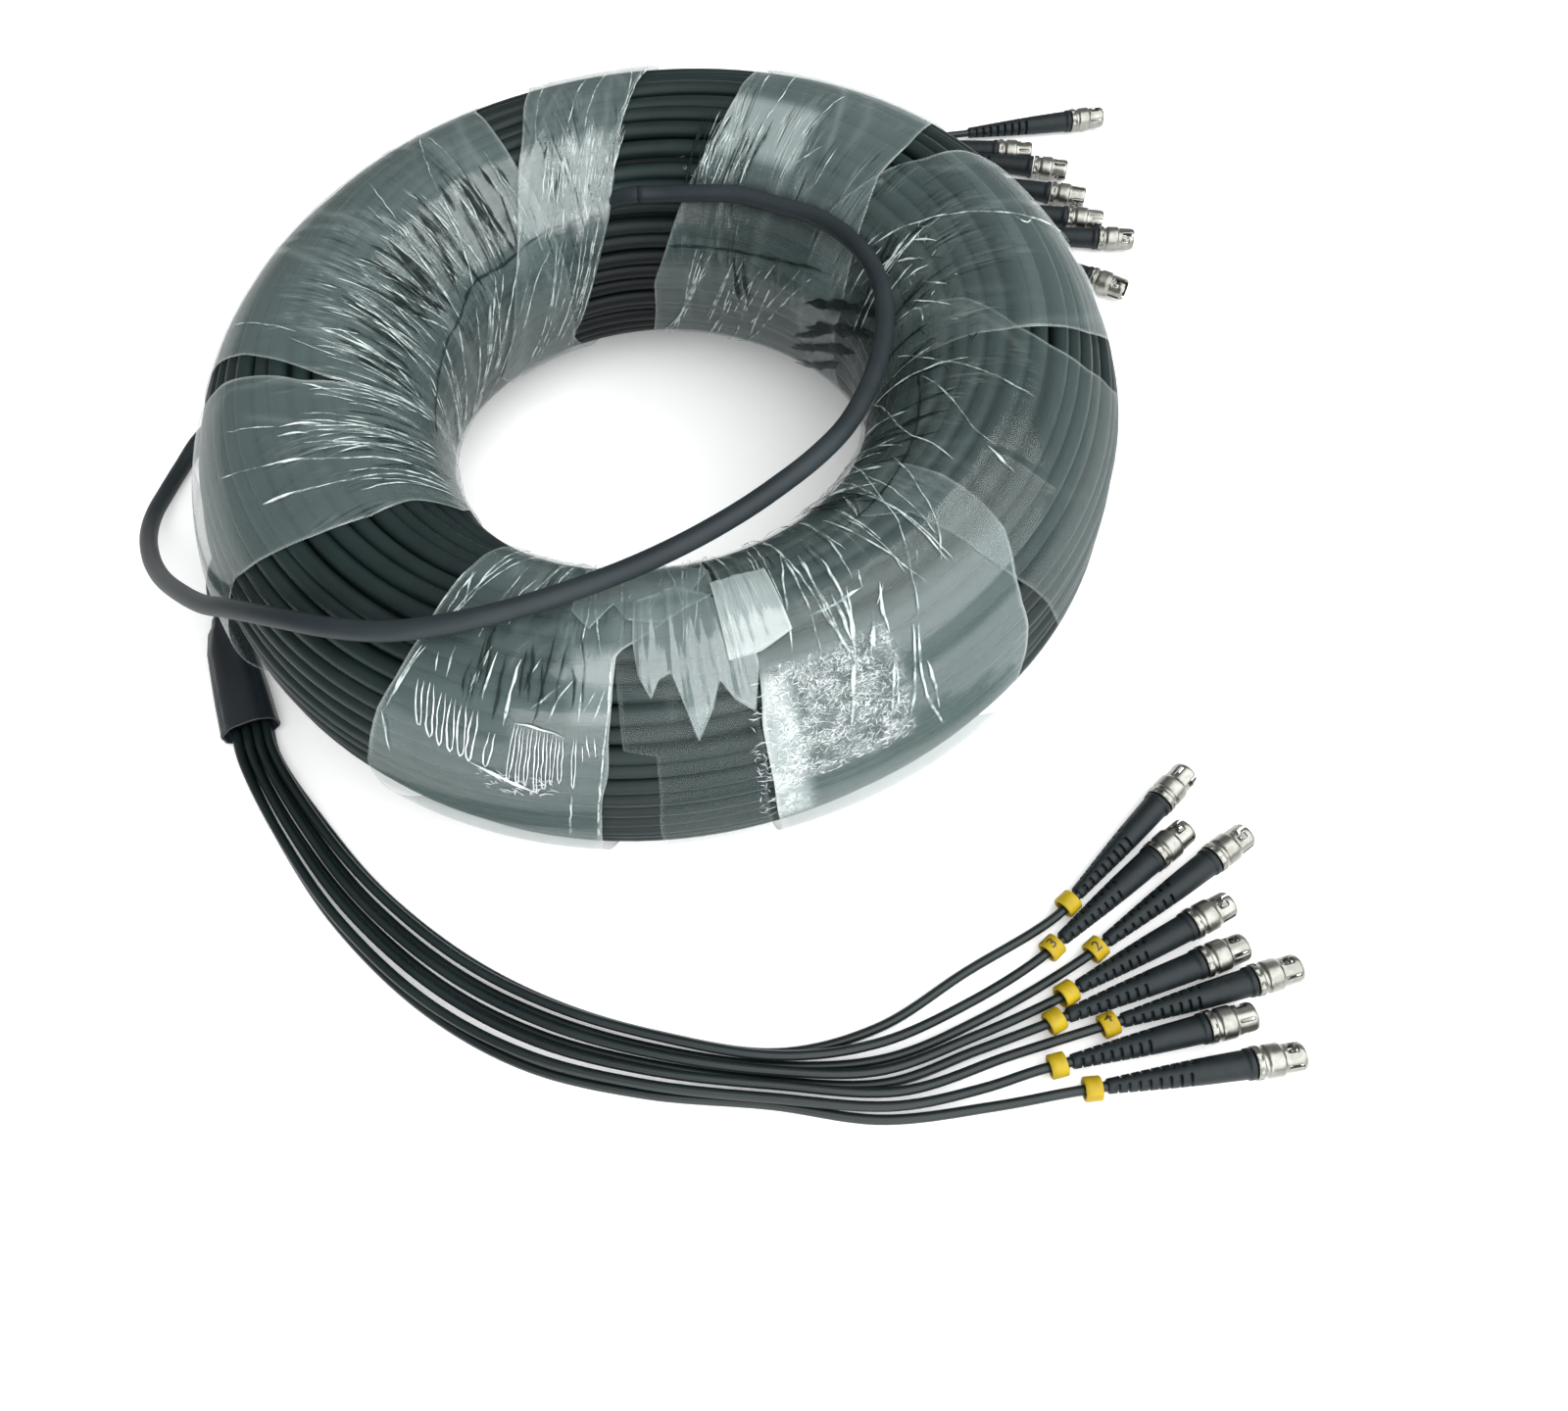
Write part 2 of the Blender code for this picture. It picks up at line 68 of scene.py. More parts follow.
lean = math.radians(59.9)
roll = -0.006
look = np.array((0.0, math.cos(lean), -math.sin(lean)))
right = np.array((1.0, 0.0, 0.0))
up = np.cross(right, look)
cam_x = right * math.cos(roll) + up * math.sin(roll)
cam_y = up * math.cos(roll) - right * math.sin(roll)
cam_data = bpy.data.cameras.new("camera")
cam_data.lens = 29.43
cam_data.sensor_width = 36.0
cam_data.dof.use_dof = False
cam_data.clip_start = 0.01
camera = bpy.data.objects.new("camera", cam_data)
bpy.context.scene.collection.objects.link(camera)
turned_to = Matrix((cam_x.tolist(), cam_y.tolist(), (-look).tolist())).transposed().to_4x4()
camera.matrix_world = Matrix.Translation((0.043, -0.297, 0.377)) @ turned_to
bpy.context.scene.camera = camera

bpy.context.scene.view_settings.view_transform = "Standard"
world = bpy.data.worlds.new("soft_room")
bpy.context.scene.world = world
world.use_nodes = True
world.node_tree.nodes["Background"].inputs["Color"].default_value = (0.97, 1.0, 0.99, 1.0)
world.node_tree.nodes["Background"].inputs["Strength"].default_value = 0.42


def lamp(name, middle, width_way, height_way, width, height, glow):
    """A rectangular soft light: its middle, the directions of its width and height, its size, and its radiance."""
    data = bpy.data.lights.new(name, "AREA")
    data.shape = "RECTANGLE"
    data.size = width
    data.size_y = height
    data.energy = glow * math.pi * width * height
    obj = bpy.data.objects.new(name, data)
    bpy.context.scene.collection.objects.link(obj)
    wide = np.array(width_way, float) / np.linalg.norm(width_way)
    tall = np.array(height_way, float)
    tall = tall - wide * float(tall @ wide)
    tall = tall / np.linalg.norm(tall)
    back = np.cross(wide, tall)
    if float(back @ np.array(middle)) < 0.0:
        tall = -tall
        back = -back
    obj.matrix_world = (Matrix.Translation(middle)
                        @ Matrix((wide.tolist(), tall.tolist(), back.tolist())).transposed().to_4x4())
    return obj


lamp("side_softbox", (0.54, -0.30, 0.775), (0.6, 0.8, 0.0), (0.96, -0.72, -0.85), 1.7, 1.47, 3.3)
lamp("front_softbox", (-0.15, -1.15, 0.33), (1.0, 0.12, 0.0), (0.0, 0.2, 1.0), 1.0, 0.66, 3.3)


# Materials

class Value:
    """A number or vector in a material's node tree. Arithmetic on it adds Math nodes."""

    def __init__(self, tree, socket):
        self.tree = tree
        self.socket = socket

    def node(self, kind, inputs=(), out=0, **settings):
        """Adds a node of any kind with its settings, joins or sets its inputs, and gives one output."""
        made = self.tree.nodes.new(kind)
        for key, value in settings.items():
            setattr(made, key, value)
        for key, value in inputs:
            if isinstance(value, Value):
                self.tree.links.new(value.socket, made.inputs[key])
            else:
                made.inputs[key].default_value = value
        return Value(self.tree, made.outputs[out])

    def math(self, operation, first, second=0.0, clamp=False):
        return self.node("ShaderNodeMath", ((0, first), (1, second)), operation=operation, use_clamp=clamp)

    def __add__(self, other):
        return self.math("ADD", self, other)

    def __radd__(self, other):
        return self.math("ADD", other, self)

    def __sub__(self, other):
        return self.math("SUBTRACT", self, other)

    def __rsub__(self, other):
        return self.math("SUBTRACT", other, self)

    def __mul__(self, other):
        return self.math("MULTIPLY", self, other)

    def __pow__(self, other):
        return self.math("POWER", self, other)

    def clamp(self):
        return self.math("ADD", self, 0.0, clamp=True)

    def top(self, other):
        return self.math("MAXIMUM", self, other)

    def ramp(self, low, high):
        """Zero below low, one above high, and a smooth step between them."""
        return self.node("ShaderNodeMapRange", (("Value", self), ("From Min", low), ("From Max", high)),
                         interpolation_type="SMOOTHSTEP")

    def ridge(self, width):
        """One where this noise crosses its middle value, and zero beyond a width from it."""
        return 1.0 - self.math("ABSOLUTE", self - 0.5).ramp(0.0, width)

    def attribute(self, name, out="Fac"):
        return self.node("ShaderNodeAttribute", out=out, attribute_name=name)

    def coords(self, stretch=(1.0, 1.0, 1.0)):
        """Object coordinates, times a number on each axis."""
        place = self.node("ShaderNodeTexCoord", out="Object")
        return place.scaled(stretch)

    def scaled(self, stretch):
        return self.node("ShaderNodeVectorMath", ((0, self), (1, stretch)), operation="MULTIPLY")

    def moved(self, shift):
        return self.node("ShaderNodeVectorMath", ((0, self), (1, shift)), operation="ADD")

    def noise(self, scale, detail=2.0, rough=0.5, warp=0.0):
        """Noise at this vector, about 0.5 on average."""
        return self.node("ShaderNodeTexNoise", (("Vector", self), ("Scale", scale), ("Detail", detail),
                                                ("Roughness", rough), ("Distortion", warp)))

    def colours(self, dark, light):
        """A colour between two, this value being the share of the second."""
        return self.node("ShaderNodeMix", ((0, self), (6, (*dark, 1.0)), (7, (*light, 1.0))), out=2,
                         data_type="RGBA")

    def bump(self, distance, strength=1.0, under=None):
        """A bumped normal from this height."""
        given = [("Height", self), ("Distance", distance), ("Strength", strength)]
        if under is not None:
            given.append(("Normal", under))
        return self.node("ShaderNodeBump", tuple(given))


def principled(name, base=(0.5, 0.5, 0.5), rough=0.5, metal=0.0, **more):
    """A new material: gives it, its shader's start value and its shader. more sets sockets to constants."""
    made = bpy.data.materials.new(name)
    made.use_nodes = True
    shader = made.node_tree.nodes["Principled BSDF"]
    shader.inputs["Base Color"].default_value = (*base, 1.0)
    shader.inputs["Roughness"].default_value = rough
    shader.inputs["Metallic"].default_value = metal
    for key, value in more.items():
        shader.inputs[key.replace("_", " ")].default_value = value
    return made, Value(made.node_tree, None), shader


def join(shader, **links):
    """Joins values to the shader's sockets."""
    for key, value in links.items():
        value.tree.links.new(value.socket, shader.inputs[key.replace("_", " ")])


def jacket_material(name, dark, light, rough, grain, sheen=0.5):
    """Extruded plastic jacket: slow shade changes along it, a fine grain and small scuffs.

    It carries painted shade: its colour is darker where its bore-shade point attribute is above zero, down in the bore.
    """
    made, v, shader = principled(name, Specular_IOR_Level=sheen)
    slow = v.coords().noise(38.0, 3.0)
    fine = v.coords().noise(1500.0, 2.0)
    scuff = v.coords().noise(240.0, 5.0, 0.7).ramp(0.60, 0.78)
    plain = slow.ramp(0.3, 0.7).colours(dark, light)
    # painted shade: the colour is mixed towards near black down in the bore, where shade falls
    painted_bore_shade = v.attribute("painted_bore_shade")
    join(shader, Base_Color=painted_bore_shade.node("ShaderNodeMix", ((0, painted_bore_shade), (6, plain), (7, (0.0025, 0.0040, 0.0050, 1.0))),
                                      out=2, data_type="RGBA"),
         Roughness=rough + (slow - 0.5) * 0.10 + scuff * 0.07,
         Normal=fine.bump(grain, 0.5, v.coords().noise(90.0, 2.0).bump(0.00022, 0.5)))
    return made


JACKET = jacket_material("jacket", (0.0050, 0.0112, 0.0112), (0.0095, 0.0190, 0.0185), 0.50, 0.00004, 0.22)
LOOP_JACKET = jacket_material("loose_turn_jacket", (0.0095, 0.0150, 0.0178), (0.0150, 0.0220, 0.0256), 0.52,
                              0.00004, 0.26)
LEG_JACKET = jacket_material("leg_jacket", (0.0038, 0.0078, 0.0085), (0.0070, 0.0130, 0.0138), 0.34, 0.00002, 0.34)


def mottled(name, dark, light, cloud, mix, fine, rough, grain, swell, stretch=(1.0, 1.0, 1.0), **more):
    """A material with a slow cloud of two colours and a fine grain.

    cloud and fine are the noise settings, mix the cloud's range between the colours, rough the base and the shares
    of cloud and grain, and grain and swell the bump distance and strength of the two.
    """
    made, v, shader = principled(name, **more)
    slow = v.coords(stretch).noise(*cloud)
    grains = v.coords().noise(*fine)
    join(shader, Base_Color=(slow.ramp(*mix) if mix else slow).colours(dark, light),
         Roughness=rough[0] + (slow - 0.5) * rough[1] + (grains - 0.5) * rough[2],
         Normal=grains.bump(*grain, slow.bump(*swell) if swell else None))
    return made


# shrunk tubing with slack folds along it
SHRINK = mottled("heat_shrink", (0.0050, 0.0075, 0.0105), (0.0100, 0.0145, 0.0200), (150.0, 3.0), None, (900.0, 3.0),
                 (0.38, 0.0, 0.16), (0.00008, 0.4), (0.0006, 0.4), (1.0, 0.35, 1.0))
# matt moulded rubber
RUBBER = mottled("boot_rubber", (0.0032, 0.0066, 0.0082), (0.0066, 0.0118, 0.0145), (320.0, 4.0, 0.65), (0.35, 0.7),
                 (2600.0, 2.0), (0.53, 0.14, 0.0), (0.00003, 0.5), None, Specular_IOR_Level=0.28)
# marker plastic, worn a little paler in patches
YELLOW = mottled("yellow_plastic", (0.30, 0.200, 0.003), (0.38, 0.280, 0.007), (220.0, 4.0, 0.6), (0.3, 0.75),
                 (1700.0, 2.0), (0.42, 0.16, 0.0), (0.00004, 0.4), (0.0002, 0.3), Specular_IOR_Level=0.25)


def nickel_material(name, dark, light, rough):
    """Satin plated metal with tiny pits."""
    return mottled(name, dark, light, (260.0, 4.0, 0.6), (0.3, 0.7), (2400.0, 3.0, 0.7), (rough, 0.16, 0.1),
                   (0.00003, 0.45), (0.00020, 0.25), metal=1.0)


NICKEL = nickel_material("nickel", (0.20, 0.20, 0.18), (0.31, 0.31, 0.285), 0.34)
# painted shade: a darker copy of the nickel for the nut's inside faces, where shade falls
NICKEL_PAINTED_SHADE = nickel_material("nickel_inside_painted_shade", (0.020, 0.020, 0.019), (0.060, 0.058, 0.054), 0.45)


def plain_material(name, dark, light, scale, rough, **more):
    """A material with an even finish and hardly any cloud in its colour."""
    made, v, shader = principled(name, rough=rough, **more)
    join(shader, Base_Color=v.coords().noise(scale).colours(dark, light))
    return made


CERAMIC = plain_material("white_ceramic", (0.76, 0.76, 0.72), (0.84, 0.84, 0.81), 300.0, 0.2)
INK = plain_material("marker_ink", (0.030, 0.022, 0.006), (0.060, 0.044, 0.012), 1500.0, 0.5)
FLOOR = plain_material("floor_paper", (0.93, 0.935, 0.935), (0.945, 0.95, 0.95), 6.0, 0.9, Specular_IOR_Level=0.1,
                       Emission_Color=(1.0, 1.0, 1.0, 1.0), Emission_Strength=0.22)


def film_material():
    """Stretch film: clear, grey and glossy, whiter and less clear in creases, at edges and where layered. The white of
    creases, fold lines and crumpled patches is partly the film's own and partly painted highlight.

    The attribute lay holds the distance round the coil and round its section in metres, and how much the film
    is gathered there. Folds are noise stretched along the way round the section, wherever it is gathered.
    """
    made, v, shader = principled("stretch_film", IOR=1.75, Specular_IOR_Level=1.0)
    lay = v.attribute("lay", "Vector")
    along, about, gather = (lay.node("ShaderNodeSeparateXYZ", ((0, lay),), out=n) for n in range(3))
    flat = lay.node("ShaderNodeCombineXYZ", ((0, along), (1, about)))
    crease_and_highlight, edge, milk, glint = (v.attribute(name) for name in ("crease_and_highlight", "edge", "milk", "glint"))
    # long folds along the section: thin lines where stretched noise crosses its middle value, whitened partly as
    # painted highlight
    wide = flat.scaled((1.0, 0.06, 1.0)).noise(330.0, 2.0, 0.5, 0.5)
    hair = flat.scaled((1.0, 0.05, 1.0)).moved((0.3, 0.7, 0.0)).noise(900.0, 2.0, 0.55, 0.3)
    broken = flat.scaled((1.0, 0.5, 1.0)).moved((2.1, 1.3, 0.0)).noise(60.0, 2.0)
    other = flat.scaled((1.0, 0.4, 1.0)).moved((5.1, 3.3, 0.0)).noise(80.0, 2.0)
    line = wide.ridge(0.022)
    thread = hair.ridge(0.040)
    fold_line_and_highlight = (line * broken.ramp(0.48, 0.60) * 0.32 + thread * other.ramp(0.50, 0.64) * 0.26) * gather
    # where pleats open, the film is thinner and the turns show darker
    open_pleat = hair.ramp(0.56, 0.66) * broken.ramp(0.40, 0.56) * gather
    cloud = flat.noise(34.0, 3.0, 0.6)
    # crumpled patches: a tangle of small folds, whose white marks are painted glints
    tangle = flat.noise(640.0, 3.0, 0.65, 1.8)
    knot = tangle.ridge(0.050)
    patchy = flat.moved((1.7, 0.2, 0.0)).noise(190.0, 2.0).ramp(0.36, 0.60)
    sparkle = glint * knot * patchy
    # white is partly the film's own paleness (edges, milky patches, doubled film) and partly painted highlight on
    # creases, fold lines and glints
    white = (crease_and_highlight * 0.7 + fold_line_and_highlight + edge * 0.34 + sparkle + milk.top(0.0) * 0.30).clamp()
    facing = v.node("ShaderNodeLayerWeight", (("Blend", 0.5),), out=1)
    clear = (0.125 + cloud * 0.10 + milk.top(0.0) * 0.26 + white * 0.42 + (facing ** 4.0) * 0.20)
    clear = clear * (1.0 - open_pleat * 0.75) * (1.0 + milk.math("MINIMUM", milk, 0.0) * 0.85)
    height = (wide * gather * 0.45 + hair * gather * 0.30 + tangle * glint * 1.0
              + flat.scaled((1.0, 0.3, 1.0)).noise(120.0, 3.0) * 0.10)
    join(shader, Base_Color=white.colours((0.185, 0.262, 0.258), (0.88, 0.93, 0.92)), Alpha=clear.clamp(),
         Roughness=0.07 + cloud * 0.10 + milk.top(0.0) * 0.12, Normal=height.bump(0.0010, 0.6))
    return made


FILM = film_material()


def pleat_material(name, dark, light, least, more, rough, index):
    """Doubled film in a pleat: less clear than one layer, and uneven along its length. Its bright copy makes sheets of
    painted glints, and its dark copy sheets of painted shade.
    """
    made, v, shader = principled(name, IOR=index, Specular_IOR_Level=0.8)
    cloud = v.coords().noise(190.0, 3.0, 0.6)
    speck = v.coords().noise(900.0, 2.0)
    join(shader, Base_Color=cloud.ramp(0.3, 0.7).colours(dark, light), Roughness=rough + speck * 0.2,
         Alpha=(least + cloud.ramp(0.36, 0.62) * more + (speck - 0.5) * 0.2).clamp(),
         Normal=speck.bump(0.0002, 0.4))
    return made


PLEAT = pleat_material("film_pleat", (0.36, 0.45, 0.44), (0.72, 0.82, 0.81), 0.10, 0.50, 0.22, 1.5)
# painted glints: near-white, nearly opaque sheets for the light caught by crumpled film and ripples
PAINTED_GLINT_PLEAT = pleat_material("film_painted_glint", (0.70, 0.74, 0.78), (0.90, 0.92, 0.96), 0.45, 0.42, 0.20, 1.6)
# painted shade: dark, half-clear sheets laid along seams and between folds, where shade falls
PAINTED_SHADE_PLEAT = pleat_material("film_painted_shade", (0.0035, 0.0085, 0.0085), (0.008, 0.016, 0.016), 0.22, 0.40, 0.45,
                            1.2)


# Mesh building

def build(name, verts, quads, mats, tris=None, smooth=None, mat_index=None, layers=None, closed=True):
    """A mesh object from arrays of points, four-sided and three-sided faces, at the origin.

    smooth and mat_index give a value for each face, quads first, and layers holds point attributes.
    A closed shape's faces are turned over when its signed volume, a sixth of the sum of a . (b x c), is negative.
    """
    verts = np.asarray(verts, float).reshape(-1, 3)
    quads = np.asarray(quads, int).reshape(-1, 4)
    tris = np.zeros((0, 3), int) if tris is None else np.asarray(tris, int).reshape(-1, 3)
    volume = 0.0
    for a, b, c in ((quads[:, 0], quads[:, 1], quads[:, 2]), (quads[:, 0], quads[:, 2], quads[:, 3]),
                    (tris[:, 0], tris[:, 1], tris[:, 2])):
        volume += float(np.sum(verts[a] * np.cross(verts[b], verts[c])))
    if closed and volume < 0.0:
        quads = quads[:, ::-1]
        tris = tris[:, ::-1]
    mesh = bpy.data.meshes.new(name)
    mesh.vertices.add(len(verts))
    mesh.vertices.foreach_set("co", verts.ravel())
    mesh.loops.add(quads.size + tris.size)
    mesh.loops.foreach_set("vertex_index", np.concatenate([quads.ravel(), tris.ravel()]).astype(np.int32))
    sizes = np.concatenate([np.full(len(quads), 4), np.full(len(tris), 3)]).astype(np.int32)
    mesh.polygons.add(len(sizes))
    mesh.polygons.foreach_set("loop_start", (np.cumsum(sizes) - sizes).astype(np.int32))
    mesh.polygons.foreach_set("loop_total", sizes)
    mesh.polygons.foreach_set("use_smooth", np.ones(len(sizes), bool) if smooth is None else smooth)
    for mat in mats if isinstance(mats, (list, tuple)) else [mats]:
        mesh.materials.append(mat)
    if mat_index is not None:
        mesh.polygons.foreach_set("material_index", np.asarray(mat_index, np.int32))
    for key, values in (layers or {}).items():
        values = np.asarray(values, float)
        kind = "FLOAT_VECTOR" if values.ndim == 2 else "FLOAT"
        made = mesh.attributes.new(key, kind, "POINT")
        made.data.foreach_set("vector" if values.ndim == 2 else "value", values.ravel())
    mesh.update(calc_edges=True)
    mesh.validate()
    obj = bpy.data.objects.new(name, mesh)
    bpy.context.scene.collection.objects.link(obj)
    return obj


def grid_quads(rows, cols, wrap_rows=False, wrap_cols=True, start=0):
    """Quads of a grid of points that are numbered row by row, closed in either direction if asked."""
    i = np.arange(rows if wrap_rows else rows - 1)[:, None]
    j = np.arange(cols if wrap_cols else cols - 1)[None, :]
    i2 = (i + 1) % rows
    j2 = (j + 1) % cols
    corners = np.broadcast_arrays(i * cols + j, i * cols + j2, i2 * cols + j2, i2 * cols + j)
    return np.stack(corners, axis=-1).reshape(-1, 4) + start


def end_fans(rows, cols, first_centre):
    """Triangles that close the first and last ring of a tube with a centre point each."""
    k = np.arange(cols)
    k2 = (k + 1) % cols
    first = np.stack([np.full(cols, first_centre), k2, k], axis=1)
    base = (rows - 1) * cols
    last = np.stack([np.full(cols, first_centre + 1), base + k, base + k2], axis=1)
    return np.vstack([first, last])


def across(direction):
    """Unit vectors along each direction, level across it and up from it."""
    d = np.asarray(direction, float)
    d = d / np.linalg.norm(d, axis=-1, keepdims=True)
    side = np.cross(d, np.array((0.0, 0.0, 1.0)))
    side = side / np.linalg.norm(side, axis=-1, keepdims=True)
    return d, side, np.cross(side, d)


def directions(count, side, over, turn=0.0):
    """Unit vectors at even angles in the plane of side and over: cos a along the first, sin a along the second."""
    a = np.arange(count) * (2.0 * math.pi / count) + turn
    return np.cos(a)[:, None] * side[..., None, :] + np.sin(a)[:, None] * over[..., None, :]


def smooth_route(points, step):
    """Points at even spacing along a smooth curve that passes through the route's points."""
    p = np.asarray(points, float)
    p = np.vstack([2.0 * p[0] - p[1], p, 2.0 * p[-1] - p[-2]])
    knot = np.concatenate([[0.0], np.cumsum(np.linalg.norm(np.diff(p, axis=0), axis=1) ** 0.5)])
    dense = []
    for i in range(1, len(p) - 2):
        t = np.linspace(knot[i], knot[i + 1], 24, endpoint=False)[:, None]
        level = [p[i - 1], p[i], p[i + 1], p[i + 2]]
        # each level blends its neighbours in proportion to where t lies between their knots
        for first, last in (((i - 1, i, i + 1), (i, i + 1, i + 2)), ((i - 1, i), (i + 1, i + 2)), ((i,), (i + 1,))):
            level = [((knot[b] - t) * level[n] + (t - knot[a]) * level[n + 1]) / (knot[b] - knot[a])
                     for n, (a, b) in enumerate(zip(first, last))]
        dense.append(level[0])
    dense = np.vstack(dense + [p[-2][None, :]])
    run = np.concatenate([[0.0], np.cumsum(np.linalg.norm(np.diff(dense, axis=0), axis=1))])
    count = max(3, int(round(run[-1] / step)) + 1)
    at = np.linspace(0.0, run[-1], count)
    return np.stack([np.interp(at, run, dense[:, k]) for k in range(3)], axis=1)


def capped(name, rings, first, last, mat, **more):
    """A solid from rings of points, one row each, closed at both ends with a centre point."""
    rows, cols = rings.shape[:2]
    verts = np.vstack([rings.reshape(-1, 3), np.reshape(first, (1, 3)), np.reshape(last, (1, 3))])
    return build(name, verts, grid_quads(rows, cols), mat, end_fans(rows, cols, rows * cols), **more)


def tube(name, path, radius, sides, mat):
    """A round tube: a ring of points round each path point, in the plane across the path there."""
    _, side, over = across(np.gradient(path, axis=0))
    rings = path[:, None, :] + directions(sides, side, over) * radius
    return capped(name, rings, path[0], path[-1], mat)


def revolved(name, stations, radii, start, direction, mat, turn=0.0, **more):
    """A solid whose point at station n and angle a lies at that distance along the axis and at radius (n, a)."""
    d, side, over = across(direction)
    axis = np.asarray(start, float) + d * stations[:, None]
    rings = axis[:, None, :] + directions(radii.shape[1], side, over, turn) * radii[:, :, None]
    return capped(name, rings, axis[0], axis[-1], mat, **more)


def drift(at, every, seed):
    """Smooth wandering value between minus one and one: seeded knots joined by a smooth step."""
    at = np.asarray(at, float) / every
    low = np.floor(at).astype(int)
    part = at - low
    part = part * part * (3.0 - 2.0 * part)
    base = low.min()
    values = np.random.default_rng(seed).uniform(-1.0, 1.0, int(low.max() - base) + 2)
    return values[low - base] * (1.0 - part) + values[low - base + 1] * part


def show(obj, body, slot, *nodes):
    """The piece rides on a body and stands for CAD nodes, which it hides. slot is not used."""
    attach(obj, body)
    if nodes:
        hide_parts(*nodes)
    return obj


# The section of the coil: where an angle lies on the ellipse, and how far round it is

section_angles = np.radians(np.linspace(-90.0, 270.0, 1441))
section_run = np.concatenate([[0.0], np.cumsum(np.hypot(
    np.diff(COIL_HALF_W * np.cos(section_angles)), np.diff(COIL_HALF_H * np.sin(section_angles))))])
SECTION_ROUND = section_run[-1]
TURNS = 44
FILM_T = 0.00012


def angle_at(run):
    """Section angle in radians, from -90 degrees on, at a distance round the section."""
    return np.interp(run, section_run, section_angles)


def run_at(angle):
    """Distance round the section at an angle in radians between -90 and 270 degrees."""
    return np.interp(angle, section_angles, section_run)


# How far the hand-wound coil is out of round, in metres, every 45 degrees from -160: its outside, its bore, and
# half its height
OUT_OF_ROUND = np.array([(-1.5, -4.0, -0.5), (-2.0, -1.0, -0.5), (-3.0, -0.5, 0.0), (2.5, -1.5, 2.0),
                         (9.0, 0.0, 2.5), (11.0, -1.5, 2.0), (3.2, 1.5, 0.3), (-0.5, 0.5, -0.5)]) * 0.001


def out_of_round(theta, column):
    """One column of the table at an angle round the coil, along a cubic that passes through its values."""
    place = (theta - math.radians(-160.0)) / (2.0 * math.pi) * 8.0 % 8.0
    low = np.floor(place).astype(int)
    part = place - low
    p0, p1, p2, p3 = (OUT_OF_ROUND[(low + step) % 8, column] for step in (-1, 0, 1, 2))
    return 0.5 * (2.0 * p1 + (p2 - p0) * part + (2.0 * p0 - 5.0 * p1 + 4.0 * p2 - p3) * part ** 2
                  + (3.0 * p1 - p0 - 3.0 * p2 + p3) * part ** 3)


def on_coil(theta, angle, out):
    """The point at angle theta round the coil, an angle round its section, and a distance out from its surface.

    The section is an ellipse, so its outward normal is (cos / half width, sin / half height), made unit length.
    Its half width, half height and middle wander a little round the coil.
    """
    outside = out_of_round(theta, 0)
    bore = out_of_round(theta, 1)
    half_h = COIL_HALF_H + out_of_round(theta, 2)
    half_w = COIL_HALF_W + (outside - bore) / 2.0
    nw = np.cos(angle) / half_w
    nh = np.sin(angle) / half_h
    size = np.hypot(nw, nh)
    rho = COIL_R + (outside + bore) / 2.0 + half_w * np.cos(angle) + out * nw / size
    height = half_h * (1.0 + np.sin(angle)) + out * nh / size
    return np.stack([rho * np.cos(theta), rho * np.sin(theta), COIL_Z - COIL_HALF_H + height], axis=-1)


# Wound turns: one long spiral of trunk cable over a ridged core of deeper turns

def wound_turns():
    """One tube: its centre goes 44 times round the coil while it goes once round the section.

    At turn count s the angle round the coil is 2 pi s. A turn keeps its place round the section, (n + 0.5) / 44 of
    the whole, and steps over to the next place at the left, with a slow wander. Its depth below the surface is the
    tube's radius plus a slow dip.
    """
    per_turn = 132
    sides = 10
    s = 0.46 + np.arange(int((TURNS - 0.1) * per_turn) + 1) / per_turn
    part = np.clip((s % 1.0 - 0.36) / 0.10, 0.0, 1.0)
    place = np.floor(s) + 0.5 + part * part * (3.0 - 2.0 * part)
    wander = 0.0008 * drift(s, 0.31, 3) + 0.0007 * drift(s, 0.83, 4)
    run = np.mod(place / TURNS * SECTION_ROUND + wander, SECTION_ROUND)
    dip = np.clip(drift(s, 0.43, 5) + 0.35 * drift(s, 0.17, 6), 0.0, 1.0)
    depth = TRUNK_D / 2.0 + 0.0001 + 0.0016 * dip
    theta = 2.0 * math.pi * s
    angle = angle_at(run)
    centre = on_coil(theta, angle, -depth)
    ahead = np.gradient(centre, axis=0)
    ahead = ahead / np.linalg.norm(ahead, axis=1, keepdims=True)
    outward = on_coil(theta, angle, 0.0) - centre
    outward = outward - ahead * np.sum(outward * ahead, axis=1, keepdims=True)
    outward = outward / np.linalg.norm(outward, axis=1, keepdims=True)
    rings = centre[:, None, :] + directions(sides, outward, np.cross(ahead, outward)) * (TRUNK_D / 2.0)
    # painted shade: a share that darkens the turns' colour between section angles 138 and 245 degrees, down in the bore
    down = np.degrees(angle) % 360.0
    painted_bore_shade = 0.85 * np.clip((down - 138.0) / 30.0, 0.0, 1.0) * np.clip((245.0 - down) / 30.0, 0.0, 1.0)
    painted_bore_shade = np.concatenate([np.repeat(painted_bore_shade, sides), painted_bore_shade[:1], painted_bore_shade[-1:]])
    return capped("wound_turns", rings, centre[0], centre[-1], JACKET, layers={"painted_bore_shade": painted_bore_shade})


def wound_core():
    """The deeper turns as one turned body. Its depth below the surface is 7 mm, less 2.2 mm on each turn's ridge."""
    rows = 96
    cols = TURNS * 5
    theta = np.arange(rows)[:, None] * (2.0 * math.pi / rows)
    share = np.arange(cols)[None, :] / cols
    out = -0.0070 + 0.0022 * np.abs(np.sin(math.pi * share * TURNS))
    verts = on_coil(theta, angle_at(share * SECTION_ROUND), out).reshape(-1, 3)
    return build("wound_core", verts, grid_quads(rows, cols, True, True), JACKET)


show(wound_turns(), "cable", "jacket", "cable_coil")
show(wound_core(), "cable", "jacket", "cable_coil")


# Stretch film

def fade(value, first, last, soft):
    """One between first and last, falling to zero over a soft distance inside them."""
    return np.clip((value - first) / soft, 0.0, 1.0) * np.clip((last - value) / soft, 0.0, 1.0)


